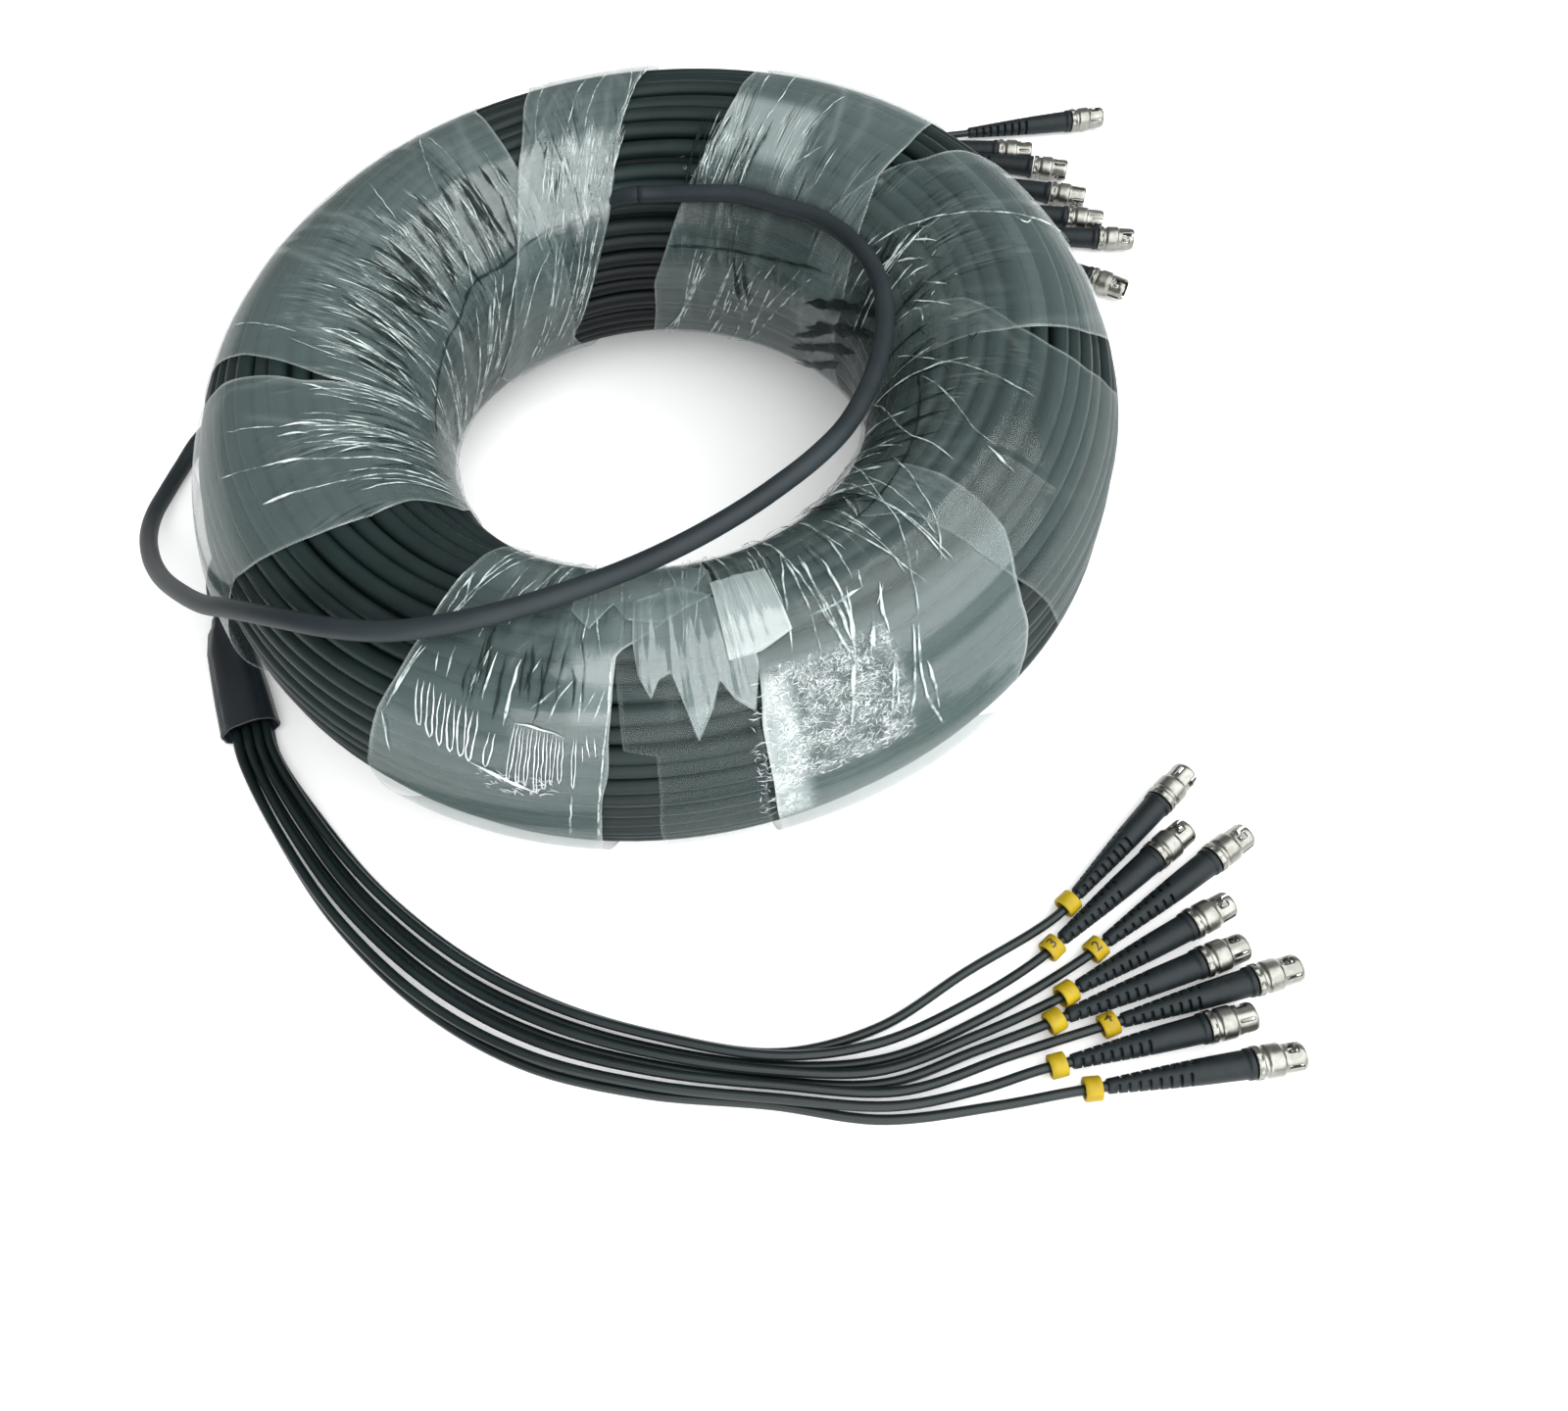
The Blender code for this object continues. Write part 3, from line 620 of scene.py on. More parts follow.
def film_shell(name, node, theta, angle, out, closed, pulled, marks):
    """Film of one thickness on a grid of rows round the section by columns round the coil, with a rim where it ends.

    pulled says how much the film is gathered, and marks are the values of crease whitening with its painted highlight,
    edge, milk and painted glint.
    """
    rows, cols = np.broadcast(theta, angle).shape
    none = np.zeros((rows, cols))
    theta = theta + none
    angle = angle + none
    verts = [on_coil(theta, angle, out - depth).reshape(-1, 3) for depth in (0.0, FILM_T)]
    count = rows * cols
    skin = grid_quads(rows, cols, closed, False)
    quads = [skin, skin[:, ::-1] + count]
    point = np.arange(count).reshape(rows, cols)
    if closed:
        down = np.vstack([point, point[:1]])
        rims = [down[::-1, 0], down[:, -1]]
    else:
        rims = [np.concatenate([point[0, :-1], point[:-1, -1], point[-1, :0:-1], point[::-1, 0]])]
    for way in rims:
        quads.append(np.stack([way[1:], way[:-1], way[:-1] + count, way[1:] + count], axis=1))
    lay = np.stack([theta * COIL_R, run_at(angle), pulled + none], axis=-1).reshape(-1, 3)
    layers = {"lay": np.vstack([lay, lay])}
    for key, values in zip(("crease_and_highlight", "edge", "milk", "glint"), marks):
        layers[key] = np.tile((values + none).ravel(), 2)
    return show(build(name, np.vstack(verts), np.vstack(quads), FILM, layers=layers), "cable", "film",
                *([node] if node else []))


def film(name, node, low, high, base, seed, gather=1.0, creases=36, milks=(), glints=(), flare=(), cut=None):
    """A pass of stretch film round the section, as a thin shell.

    low and high are (section angle, angle round the coil) pairs in degrees for its two edges. A point at share u
    from the low to the high edge lies at theta = low + u (high - low), and its distance out is the base plus the
    creases. cut keeps only a part of the way round the section. Each patch of milks and glints is (first and last
    section angle, first and last angle round the coil, amount); milk below zero makes the film clearer.
    """
    span = np.mean([h[1] for h in high]) - np.mean([k[1] for k in low])
    cols = max(24, int(math.radians(span) * COIL_R / 0.0011))
    first, last = cut if cut else (-90.0, 270.0)
    closed = cut is None
    rows = max(12, int(132 * (last - first) / 360.0))
    turn = np.linspace(first, last, rows, endpoint=not closed)[:, None]
    u = np.linspace(0.0, 1.0, cols)[None, :]
    edges = []
    for table, every, more in ((low, 17.0, 50), (high, 15.0, 52)):
        fray = 0.30 * drift(turn[:, 0], every, seed + more)
        if closed:
            fray = fray * np.clip(np.minimum(turn[:, 0] + 90.0, 270.0 - turn[:, 0]) / 30.0, 0.0, 1.0)
        edges.append(np.interp(turn[:, 0], *np.transpose(table), period=360.0) + fray)
    low_edge, high_edge = edges
    theta_deg = low_edge[:, None] + u * (high_edge - low_edge)[:, None]
    pulled = gather * np.clip((turn - 65.0) / 40.0, 0.0, 1.0) * np.clip((190.0 - turn) / 32.0, 0.0, 1.0)
    local_r = COIL_R + COIL_HALF_W * np.cos(np.radians(turn))
    # creases: ridges along lines that go round the section, each with a painted highlight (shine) along it
    rng = np.random.default_rng(seed)
    height = np.zeros_like(theta_deg)
    shine = np.zeros_like(theta_deg)
    for _ in range(creases):
        middle = rng.uniform(70.0, 175.0)
        half = rng.uniform(10.0, 45.0)
        at = rng.uniform(0.03, 0.97)
        lean_by = rng.uniform(-4.0, 4.0)
        width = rng.uniform(0.0007, 0.0018)
        tall = rng.uniform(-0.5, 0.6)
        bright = rng.uniform(0.0, 0.22)
        share = np.clip((turn[:, 0] - (middle - half)) / (2.0 * half), 0.0, 1.0)
        line = low_edge + at * (high_edge - low_edge) + lean_by * (2.0 * share - 1.0)
        line = line + 0.5 * drift(turn[:, 0] + 400.0, 14.0, int(at * 9999))
        away = np.radians(theta_deg - line[:, None]) * local_r / width
        bell = np.exp(-away * away) * fade(turn, middle - half, middle + half, 8.0)
        height = height + tall * 0.0007 * bell * gather
        shine = np.maximum(shine, bright * bell)
    out = base + 0.0001 + np.maximum(height, -0.0003) + 0.00012 * drift(theta_deg, 3.0, seed + 7) * pulled
    for middle, wide, tall in flare:
        out = out + tall * 0.001 * np.exp(-((turn - middle) / wide) ** 2)
    edge_away = np.radians(np.minimum(theta_deg - low_edge[:, None], high_edge[:, None] - theta_deg)) * local_r
    # glints mark the patches where the film's shader paints glints on crumpled film
    patched = []
    for patches in (milks, glints):
        store = np.zeros_like(theta_deg)
        for a0, a1, t0, t1, much in patches:
            value = much * fade(turn, a0, a1, 5.0) * fade(theta_deg, t0, t1, 1.5)
            store = np.where(np.abs(value) > np.abs(store), value, store)
        patched.append(store)
    film_shell(name, node, np.radians(theta_deg), np.radians(turn), out, closed, pulled,
               (shine, np.exp(-(edge_away / 0.0007) ** 2), *patched))


film("film_a", "film_wrap_left_back",
     [(-60, 119), (0, 119), (61, 119), (73, 120.7), (100, 120.6), (117, 120), (160, 117), (220, 118)],
     [(-60, 181), (0, 181), (49, 181.2), (71, 183.9), (87, 187.1), (108, 191.3), (129, 191.8), (156, 188.5),
      (200, 185), (250, 182)],
     0.0003, 11, creases=30, milks=[(158, 250, 112, 190, -0.35), (-16, 12, 162, 184, 0.5)],
     flare=[(-8, 22, 2.4)])
film("film_b", "film_wrap_left_back",
     [(-60, 97), (0, 92), (61, 90.4), (92, 94.6), (110, 96.8), (148, 102.7), (165, 107.4), (203, 118.2), (250, 108)],
     [(-60, 111), (0, 110), (71, 111), (94, 114.5), (112, 118.1), (123, 120.9), (144, 127), (163, 133), (202, 144),
      (250, 126)],
     0.0011, 12, creases=12, milks=[(110, 150, 94, 122, 0.25), (154, 250, 94, 150, -0.4)])
film("film_c", "film_wrap_right_back",
     [(-60, 48), (0, 47.5), (54, 46.4), (89, 42.1), (109, 41.2), (123, 38), (160, 30), (230, 30)],
     [(-60, 74), (0, 74), (60, 74.6), (94, 75), (114, 77), (134, 81.2), (148, 84.7), (164, 88.6), (179, 92.4),
      (224, 95), (260, 82)],
     0.0003, 13, creases=12, milks=[(128, 162, 40, 84, -0.45), (162, 250, 30, 96, -0.2), (92, 126, 58, 78, 0.7)],
     flare=[(-6, 20, 1.5)])
film("film_d", "film_wrap_right",
     [(-60, 8), (0, 7), (27, 5.1), (54, 0.1), (74, -2.5), (94, -4.9), (108, -5.2), (160, -6), (240, 4)],
     [(-60, 33), (0, 33), (49, 33.1), (70, 36.8), (91, 37.9), (109, 41.1), (130, 45.5), (160, 46), (230, 42)],
     0.0006, 14, creases=14, milks=[(-40, 80, -8, 34, -0.4), (80, 250, -8, 56, -0.6)],
     glints=[(108, 138, -2, 26, 0.2)], flare=[(-8, 22, 2.4)])
film("film_e", "film_wrap_right",
     [(-60, -33), (-8, -33.2), (9, -34.2), (23, -35.3), (34, -37), (43, -38.6), (60, -41), (90, -44), (103, -50),
      (117, -46), (160, -46), (240, -34)],
     [(-60, -1), (0, -1.5), (20, -2), (40, -6), (55, -6.8), (73, -6), (88, -4), (108, 4), (130, 8), (160, 8),
      (240, 2)],
     0.0009, 15, creases=12, milks=[(-60, 250, -52, 10, -0.72)], flare=[(-8, 22, 3.2)])
film("film_f", "film_wrap_front",
     [(-60, -73), (-2, -73.5), (25, -74), (42, -74.2), (63, -73.3), (90, -74), (160, -78), (240, -75)],
     [(-60, -42), (-2, -41.8), (12, -39.9), (23, -39.1), (33, -39.2), (43, -38.4), (60, -36), (110, -36), (160, -36),
      (240, -38)],
     0.0005, 16, creases=14, milks=[(-6, 60, -76, -69.3, 0.8), (62, 250, -80, -34, -0.5)],
     glints=[(12, 62, -73, -56, 1.0), (-6, 24, -76, -69, 0.9)], flare=[(-14, 22, 2.4)])
film("film_g", "film_wrap_left",
     [(-60, -171), (0, -172), (48, -173.2), (58, -173), (78, -170.5), (97, -168.1), (113, -168.5), (136, -170.5),
      (165, -177), (220, -173)],
     [(-60, -146), (0, -146), (35, -145.3), (51, -142.7), (77, -137.7), (98, -134.8), (118, -134.8), (143, -133),
      (163, -140), (220, -146)],
     0.0003, 17, creases=8, flare=[(-5, 24, 4.2)])
film("film_h", "film_wrap_left_front",
     [(-60, -119), (4, -121.1), (35, -119), (50, -117), (69, -115.5), (106, -115.4), (160, -116), (240, -118)],
     [(-60, -93.5), (-15, -93.7), (36, -91.5), (58, -90.5), (75, -90.2), (90, -82), (113, -76), (160, -77),
      (240, -92)],
     0.0003, 18, creases=16, milks=[(46, 80, -96.5, -88, 0.35), (72, 116, -92, -74, 0.2), (-40, 20, -122, -90, -0.25),
                                         (54, 100, -116, -97, -0.4), (116, 250, -120, -74, -0.3)],
     flare=[(-16, 20, 2.2)])
film("film_middle", "",
     [(-60, -87), (-16, -87.1), (36, -86.2), (37, -89.8), (60, -90), (100, -90)],
     [(-60, -73.2), (3, -74.4), (47, -74.2), (100, -74)],
     0.0007, 19, gather=0.0, creases=4, milks=[(-80, 120, -100, -60, -0.95)], cut=(-60, 100))


def film_scrap(name, bottom, top, base, milk, seed):
    """A loose scrap of film: its lower and upper ends are given as (section angle, angle round the coil) pairs.

    Column by column, a point at share w lies at section angle bottom + w (top - bottom).
    """
    first, last = bottom[0][1], bottom[-1][1]
    theta_deg = np.linspace(first, last, 72)[None, :]
    w = np.linspace(0.0, 1.0, 24)[:, None]
    lowest, highest = (np.interp(theta_deg, [k[1] for k in line], [k[0] for k in line]) for line in (bottom, top))
    turn = lowest + w * (highest - lowest)
    out = base + 0.00025 * drift(theta_deg * 3.0 + 900.0, 2.0, seed) + 0.0002 * drift(turn + 500.0, 6.0, seed + 1)
    near = np.minimum(np.minimum(w, 1.0 - w) * 40.0, np.minimum(theta_deg - first, last - theta_deg) * 2.0)
    edge = 0.4 * np.exp(-(np.clip(near, 0.0, 9.0) / 0.6) ** 2)
    film_shell(name, "", np.radians(theta_deg), np.radians(turn), out, False, 0.4, (0.0, edge, milk, 0.0))


film_scrap("film_scrap_low",
           [(79, -88.2), (66, -87.6), (57, -86.2), (64, -85.1), (66, -83.6), (52, -82.3), (40, -81.4),
            (51, -79.3), (61, -78), (53, -76.7), (47, -74.6), (64, -73)],
           [(96, -89), (104, -82), (98, -78), (84, -73)], 0.0017, 0.25, 31)
film_scrap("film_scrap_high", [(92, -97), (84, -94), (96, -91), (88, -89), (86, -84), (92, -80), (96, -76)],
           [(118, -98), (121, -90), (124, -83), (112, -76)], 0.0015, 0.1, 32)
film_scrap("film_strip", [(67, -76.5), (67.5, -72.4), (72, -67.8)],
           [(101, -76.5), (102, -72), (101, -67.8)], 0.0021, 0.85, 33)


# Pleats: thin folds of doubled film, with bright sheets of painted glints and dark sheets of painted shade among them

SECTION_R = 0.043
PLEAT_STEP = 0.0013


def pleats(name, paths, mat, lift):
    """Pleats along (section angle, angle round the coil) points, each with its width and height in millimetres.

    A pleat is a tube with a lens-shaped ring that lies on the film, wavers a little and narrows at both ends.
    """
    lens = np.array([(-0.5, 0.0), (-0.28, 0.72), (0.0, 1.0), (0.28, 0.72), (0.5, 0.0), (0.0, -0.5)]) * 0.001
    sides = len(lens)
    verts, quads, tris = [], [], []
    start = 0
    for points, width, tall in paths:
        flat = np.pad(np.radians(points) * (SECTION_R, COIL_R), ((0, 0), (0, 1)))
        flat = smooth_route(flat, PLEAT_STEP)
        angle = flat[:, 0] / SECTION_R
        theta = flat[:, 1] / COIL_R
        count = len(flat)
        centre = on_coil(theta, angle, lift)
        ahead = np.gradient(centre, axis=0)
        outward = on_coil(theta, angle, lift + 0.001) - centre
        outward = outward / np.linalg.norm(outward, axis=1, keepdims=True)
        other = np.cross(ahead, outward)
        other = other / np.linalg.norm(other, axis=1, keepdims=True)
        step = np.arange(count) * PLEAT_STEP
        slim = np.clip(np.minimum(step, step[-1] - step) / (0.0020 + 0.0025 * width), 0.15, 1.0)
        slim = slim * (1.0 + 0.45 * drift(step * 1000.0 + 60.0, 4.0, start % 997 + 3))
        centre = centre + other * (0.00022 * drift(step * 1000.0 + 90.0, 3.0, start % 991 + 5))[:, None]
        ring = (other[:, None, :] * (lens[:, :1] * width) + outward[:, None, :] * (lens[:, 1:] * tall))
        ring = ring * slim[:, None, None]
        verts.append(np.vstack([(centre[:, None, :] + ring).reshape(-1, 3), centre[:1], centre[-1:]]))
        quads.append(grid_quads(count, sides, start=start))
        tris.append(end_fans(count, sides, count * sides) + start)
        start += count * sides + 2
    return show(build(name, np.vstack(verts), np.vstack(quads), mat, np.vstack(tris)), "cable", "film")


def gathered(seed, count, where, first, last, leans, widths, heights=(0.10, 0.28)):
    """Pleats at random between two angles round the coil, each from a first to a last section angle."""
    rng = np.random.default_rng(seed)
    made = []
    for _ in range(count):
        at = rng.uniform(*where)
        low = rng.uniform(*first)
        high = rng.uniform(*last)
        tip = rng.uniform(*leans) * (high - low) / 45.0
        bend = rng.uniform(-0.5, 0.5)
        made.append(([(low, at), ((low + high) / 2.0, at + tip / 2.0 + bend), (high, at + tip)],
                     rng.uniform(*widths), rng.uniform(*heights)))
    return made


def crumple(seed, count, where, section, reach, width):
    """Short folds in all directions inside a patch of the film."""
    rng = np.random.default_rng(seed)
    made = []
    for _ in range(count):
        at = rng.uniform(*where)
        mid = rng.uniform(*section)
        way = rng.uniform(0.0, math.pi)
        far = rng.uniform(0.4, 1.0) * reach
        half = (math.sin(way) * far / 0.75, math.cos(way) * far / 1.9)
        bow = rng.uniform(-0.3, 0.3, 2)
        made.append(([(mid - half[0], at - half[1]), (mid + bow[0], at + bow[1]), (mid + half[0], at + half[1])],
                     rng.uniform(0.5, 1.0) * width, rng.uniform(0.12, 0.3)))
    return made


def hairpins(width, tall, gap, *lines):
    """Loops of film: each line there and back again, with a gap in degrees round the coil between its two sides."""
    made = []
    for (a0, t0), (a1, t1) in lines:
        made.append(([(a0, t0 - gap / 2.0), ((a0 + a1) / 2.0, (t0 + t1 - gap * 1.3) / 2.0), (a1, t1 - gap / 3.0),
                      (a1 - 0.8, t1), (a1, t1 + gap / 3.0), ((a0 + a1) / 2.0, (t0 + t1 + gap * 1.3) / 2.0),
                      (a0, t0 + gap / 2.0)], width, tall))
    return made


def drawn(width, tall, *lines):
    """The same width and height for several lines."""
    return [(points, width, tall) for points in lines]


A_PLEATS = drawn(
    0.5, 0.3, [(107, 171.2), (122, 172.1), (161, 171.9)], [(112, 170.5), (134, 171), (159, 169.1)],
    [(122, 181.2), (137, 181.4), (149, 185.3)], [(110, 162.1), (123, 162.9), (154, 156.5)],
    [(109, 149.4), (127, 151), (156, 152.9)], [(111, 148.8), (135, 151.8), (159, 152.8)],
    [(113, 138.6), (130, 139.7), (152, 144.2)], [(115, 141.1), (135, 141.1)], [(138, 163.8), (158, 156.8)],
    [(112, 134.8), (135, 133.7), (151, 133.1)], [(129, 191.2), (156, 188.8)], [(108, 191), (129, 191.6)])
A_PLEATS += drawn(
    0.34, 0.2, [(74, 130.5), (114, 130.8), (139, 131), (146, 130)], [(74, 131.4), (111, 137.4)],
    [(82, 144.3), (109, 148.3)], [(93, 149.1), (111, 150.8)], [(57, 175.8), (77, 178.5), (95, 181.2)],
    [(91, 182.2), (105, 184.8), (111, 185.4)], [(131, 168.2), (141, 166.3), (150, 164.3)],
    [(95, 169), (114, 168.7)])
A_PLEATS += drawn(
    1.1, 0.35, [(101, 179.2), (116, 180.2), (124, 180.5), (132, 181.8)])
B_PLEATS = drawn(
    0.45, 0.25, [(69, 94.1), (96, 95.2), (112, 98), (132, 102.1), (146, 105.8)], [(76, 109.1), (113, 115)],
    [(68, 97.4), (112, 104.6)], [(76, 101.8), (112, 108.1)], [(71, 91.3), (105, 96), (118, 99)],
    [(115, 106.7), (138, 113.4), (151, 120)], [(114, 110.2), (151, 120.7)], [(112, 102.1), (145, 108.6)],
    [(152, 128.6), (172, 138.2), (192, 146.5)], [(153, 119.1), (167, 127.8), (183, 134.8)],
    [(150, 109.5), (170, 114.8), (203, 124.7)], [(148, 105.4), (177, 113), (206, 120)])
C_PLEATS = drawn(
    0.42, 0.25, [(59, 68.2), (97, 67.3), (104, 67.9)], [(59, 72.1), (92, 71.4)],
    [(79, 58.1), (109, 59.3), (128, 60.4)], [(108, 51.9), (125, 51.8)], [(101, 67.8), (130, 69.1)],
    [(103, 69.8), (128, 71.4)], [(104, 73.2), (130, 77.6)], [(109, 54.4), (122, 58.8)],
    [(161, 79.4), (232, 91.4)], [(163, 77.7), (201, 86.5)], [(160, 55.1), (184, 63.2), (229, 75.3)],
    [(156, 42), (184, 54.9), (228, 72.8)], [(157, 46.9), (172, 52.9), (196, 64)])
C_PLEATS += crumple(43, 34, (68, 84), (126, 134), 1.2, 0.4)
D_PLEATS = drawn(
    0.55, 0.3, [(132, 30.7), (118, 27.6), (111, 25.8), (106, 24.9), (91, 22.2), (69, 20.1), (40, 20)],
    [(114, 25.5), (111, 24.2), (105, 24.4)], [(76, 20.2), (72, 18.6), (66, 20.1)])
D_PLEATS += drawn(
    0.6, 0.3, [(131, 17.2), (121, 16.5), (118, 16.1)], [(119, 24), (111, 20.1)], [(130, 23.2), (119, 18.4)],
    [(123, 13.3), (114, 9.2)], [(137, 8.9), (128, 7.6), (126, 2.6)], [(130, 10.8), (113, 3.3)])
D_PLEATS += crumple(44, 18, (-4, 26), (106, 136), 1.8, 0.6)
E_PLEATS = drawn(
    0.42, 0.25, [(142, -0.3), (119, -9.5), (100, -13.5), (84, -16), (75, -16.7)],
    [(155, -8.6), (119, -28.4), (102, -31.3), (92, -32.9)],
    [(117, -35), (97, -39.6), (82, -42.5), (67, -46.3)],
    [(124, -12.5), (99, -23.7), (90, -26.4), (81, -27.4)],
    [(157, -29.9), (111, -43.4), (89, -47), (74, -49.9), (56, -52.6)])
E_PLEATS += drawn(
    1.3, 0.4, [(84, -28), (78, -28.7), (70, -29.5)])
F_PLEATS = drawn(
    0.95, 0.25, [(122, -46.6), (104, -50)], [(54, -53), (42, -54.4), (27, -54.8), (7, -52.9)],
    [(50, -56.8), (39, -58.3), (25, -59.6)], [(79, -58.9), (63, -60.7), (45, -62.8), (28, -64.5)],
    [(75, -54.5), (66, -56.1), (55, -56.8)], [(66, -57.5), (52, -59.5)], [(77, -47.9), (70, -49.6)],
    [(83, -56.2), (76, -57)], [(76, -59.8), (76, -57.4)], [(55, -53.6), (38, -55.5), (21, -57.3)],
    [(40, -53.6), (18, -53.5)], [(102, -62), (70, -62.8), (55, -62.1)],
    [(95, -59.4), (73, -60.1), (54, -61.7)], [(83, -62.3), (66, -62.5), (55, -62.2)],
    [(80, -61.1), (60, -61.4)], [(73, -54.5), (68, -56.5)], [(64, -57.7), (52, -60)],
    [(74, -65.6), (76, -56.8)], [(51, -56.8), (27, -58.7)], [(54, -62.2), (26, -64.6)])
# crumpled film at the front, its brightness painted glints
F_SPARKLE = crumple(45, 620, (-72.5, -57), (13, 61), 1.1, 0.4)
F_SPARKLE += crumple(48, 160, (-75.5, -70.5), (-4, 58), 1.3, 0.55)
G_PLEATS = drawn(
    0.5, 0.3, [(86, -158.7), (93, -158.1), (99, -156.8), (126, -156.6), (154, -158.6)],
    [(83, -156.9), (92, -156.2), (126, -154.6), (138, -154.2), (160, -156.9)],
    [(71, -153.7), (89, -150.7), (106, -148.2), (123, -147.3), (149, -144.9)],
    [(67, -147.5), (83, -145.3), (101, -143.3), (123, -142.6), (146, -140.9)],
    [(97, -167.1), (113, -164.8), (131, -165.7), (156, -170.2)],
    [(102, -169.6), (124, -168.1), (158, -171.4)])
G_PLEATS += drawn(
    0.34, 0.2, [(51, -157.5), (71, -153.7)], [(101, -164.4), (118, -163.2)],
    [(116, -170.9), (137, -171.1), (153, -172.3)], [(97, -154.4), (128, -154.6)],
    [(93, -151.9), (123, -150.7)], [(58, -163.6), (84, -158.9)], [(96, -152.5), (124, -151.3)],
    [(94, -160.3), (121, -158.4)])
# short bright dashes: painted highlights
G_GLINTS = drawn(
    0.7, 0.35, [(85, -158.6), (93, -158.1), (101, -156.9)], [(83, -156.9), (91, -156.2), (95, -155.6)],
    [(76, -152.6), (90, -150.6)], [(67, -147.5), (78, -146), (83, -145.3)])
H_PLEATS = drawn(
    0.6, 0.3, [(103, -114.8), (78, -115.2)], [(102, -113.5), (80, -113.7)], [(102, -113.9), (84, -111.8)],
    [(65, -114.9), (50, -116.4), (39, -117.4)], [(65, -114.5), (41, -117.3), (35, -117.9)],
    [(35, -118.2), (25, -117.5), (17, -117.2)], [(69, -110.8), (57, -110.7)], [(65, -112.6), (58, -112.2)],
    [(73, -106.2), (55, -107.8)], [(71, -105.2), (52, -106)], [(69, -102.3), (46, -103.2)],
    [(71, -99.6), (65, -100.7)], [(65, -95.2), (58, -96.8), (48, -98.1)], [(63, -92.3), (52, -94.3)],
    [(60, -94.4), (49, -94.7)], [(62, -96.9), (52, -100.2)], [(70, -102.2), (44, -103.2)],
    [(20, -95.8), (-9, -97.2)], [(61, -91.6), (50, -93)], [(54, -107.6), (71, -106.2)],
    [(75, -90.8), (58, -91.1), (36, -92.1), (-15, -94.3)])
# ripples drawn as loops of film, their brightness painted reflection
COMB_GLINTS = hairpins(
    0.42, 0.3, 0.62, [(53, -113.8), (36, -113.3)], [(53, -112.3), (33, -111.9)],
    [(51, -110.7), (31, -110.7)], [(50, -109.4), (30, -109.4)], [(49, -108), (29, -108.2)],
    [(48, -106.5), (28, -107.2)], [(41, -104.4), (27, -105.3)])
COMB_GLINTS += hairpins(
    0.3, 0.25, 0.34, [(46, -101.7), (23, -102.8)], [(45, -100.9), (22, -101.8)], [(45, -100), (21, -100.9)],
    [(45, -99.1), (19, -99.9)], [(45, -98.2), (21, -98.9)], [(44, -97.3), (23, -98)],
    [(43, -96.5), (25, -97.1)], [(43, -95), (23, -95.6)])
COMB_GLINTS += drawn(
    0.6, 0.3, [(46, -101.9), (46, -100.2), (45, -98.5), (43, -96.2)], [(45, -93.7), (36, -93.6)],
    [(43, -92.8), (36, -92.8)], [(40, -94.2), (34, -94.4)])
COMB_GLINTS += crumple(47, 60, (-107, -97.5), (16, 25), 1.2, 0.7)
COMB_GLINTS += drawn(
    1.3, 0.35, [(27, -107), (22, -103), (18, -99.6)])
# dark ribbons of painted shade along the seams of the wrap and in the gaps between pleats
SHADE_SEAMS = drawn(
    0.9, 0.15,
    [(147, 103), (147, 118.7), (151, 133.1), (150, 143.8), (156, 153.3), (157, 159.9), (159, 169.1),
     (160, 178.3), (158, 193.7)],
    [(162, 87.7), (161, 77.7), (160, 68.2), (158, 55.4), (152, 38.6)],
    [(127, -10.8), (123, -17), (117, -25.3), (112, -32.8), (106, -44.5), (103, -53.3)])
SHADE_SEAMS += drawn(
    3.4, 0.15, [(169, 43), (160, 32), (151, 22), (142, 14)], [(180, 42), (165, 25.5), (150, 11)],
    [(200, 50), (183, 34), (168, 19)], [(224, 55), (203, 41), (182, 26)])
SHADE_SEAMS += drawn(
    2.0, 0.15, [(163, 68.1), (183, 66)], [(161, 65.4), (183, 63.1)], [(190, 47.5), (174, 33)])
B_SHADE_LINES = drawn(
    1.3, 0.12, [(110, 96.5), (122, 99), (132, 101.2)], [(110, 101.5), (124, 105.5)],
    [(111, 107), (121, 110)], [(112, 112), (121, 115)], [(113, 104.6), (128, 109), (136, 111.5)],
    [(122, 117), (134, 121)])
A_SHADE_LINES = drawn(
    1.5, 0.12, [(110, 124), (124, 123.4)], [(110, 127.2), (126, 126.6)],
    [(109, 132.6), (126, 132.4), (137, 132)], [(108, 136.2), (122, 137)],
    [(112, 143.5), (133, 145.6), (146, 148.4)], [(114, 146.4), (129, 148.2)],
    [(112, 153), (130, 154.4), (145, 155.2)], [(115, 160.2), (135, 158.6), (150, 154.8)],
    [(112, 165.8), (130, 164.2), (146, 161)], [(110, 173.8), (130, 174.4), (148, 174)],
    [(112, 177.4), (130, 177.8), (146, 179.4)], [(114, 183.6), (132, 185.4)])

pleats("film_pleats_a", A_PLEATS + gathered(51, 44, (122, 186), (100, 122), (138, 156), (-5, 5), (0.22, 0.5))
       + gathered(52, 16, (124, 186), (153, 162), (185, 225), (10, 22), (0.3, 0.6)), PLEAT, 0.0008)
pleats("film_pleats_b", B_PLEATS + gathered(53, 26, (96, 112), (109, 116), (136, 150), (6, 12), (0.22, 0.5))
       + gathered(54, 8, (104, 120), (150, 158), (185, 215), (9, 15), (0.3, 0.6)), PLEAT, 0.0013)
pleats("film_pleats_c", C_PLEATS + gathered(55, 14, (66, 78), (104, 112), (124, 146), (2, 7), (0.22, 0.45))
       + gathered(56, 12, (48, 84), (160, 170), (190, 225), (8, 16), (0.3, 0.6)), PLEAT, 0.0008)
pleats("film_pleats_d", D_PLEATS + gathered(57, 7, (-2, 36), (112, 130), (140, 165), (-8, 8), (0.5, 1.0)),
       PLEAT, 0.0012)
pleats("film_pleats_e", E_PLEATS + gathered(58, 9, (-44, 2), (104, 125), (140, 170), (-12, 4), (0.5, 1.0)),
       PLEAT, 0.0014)
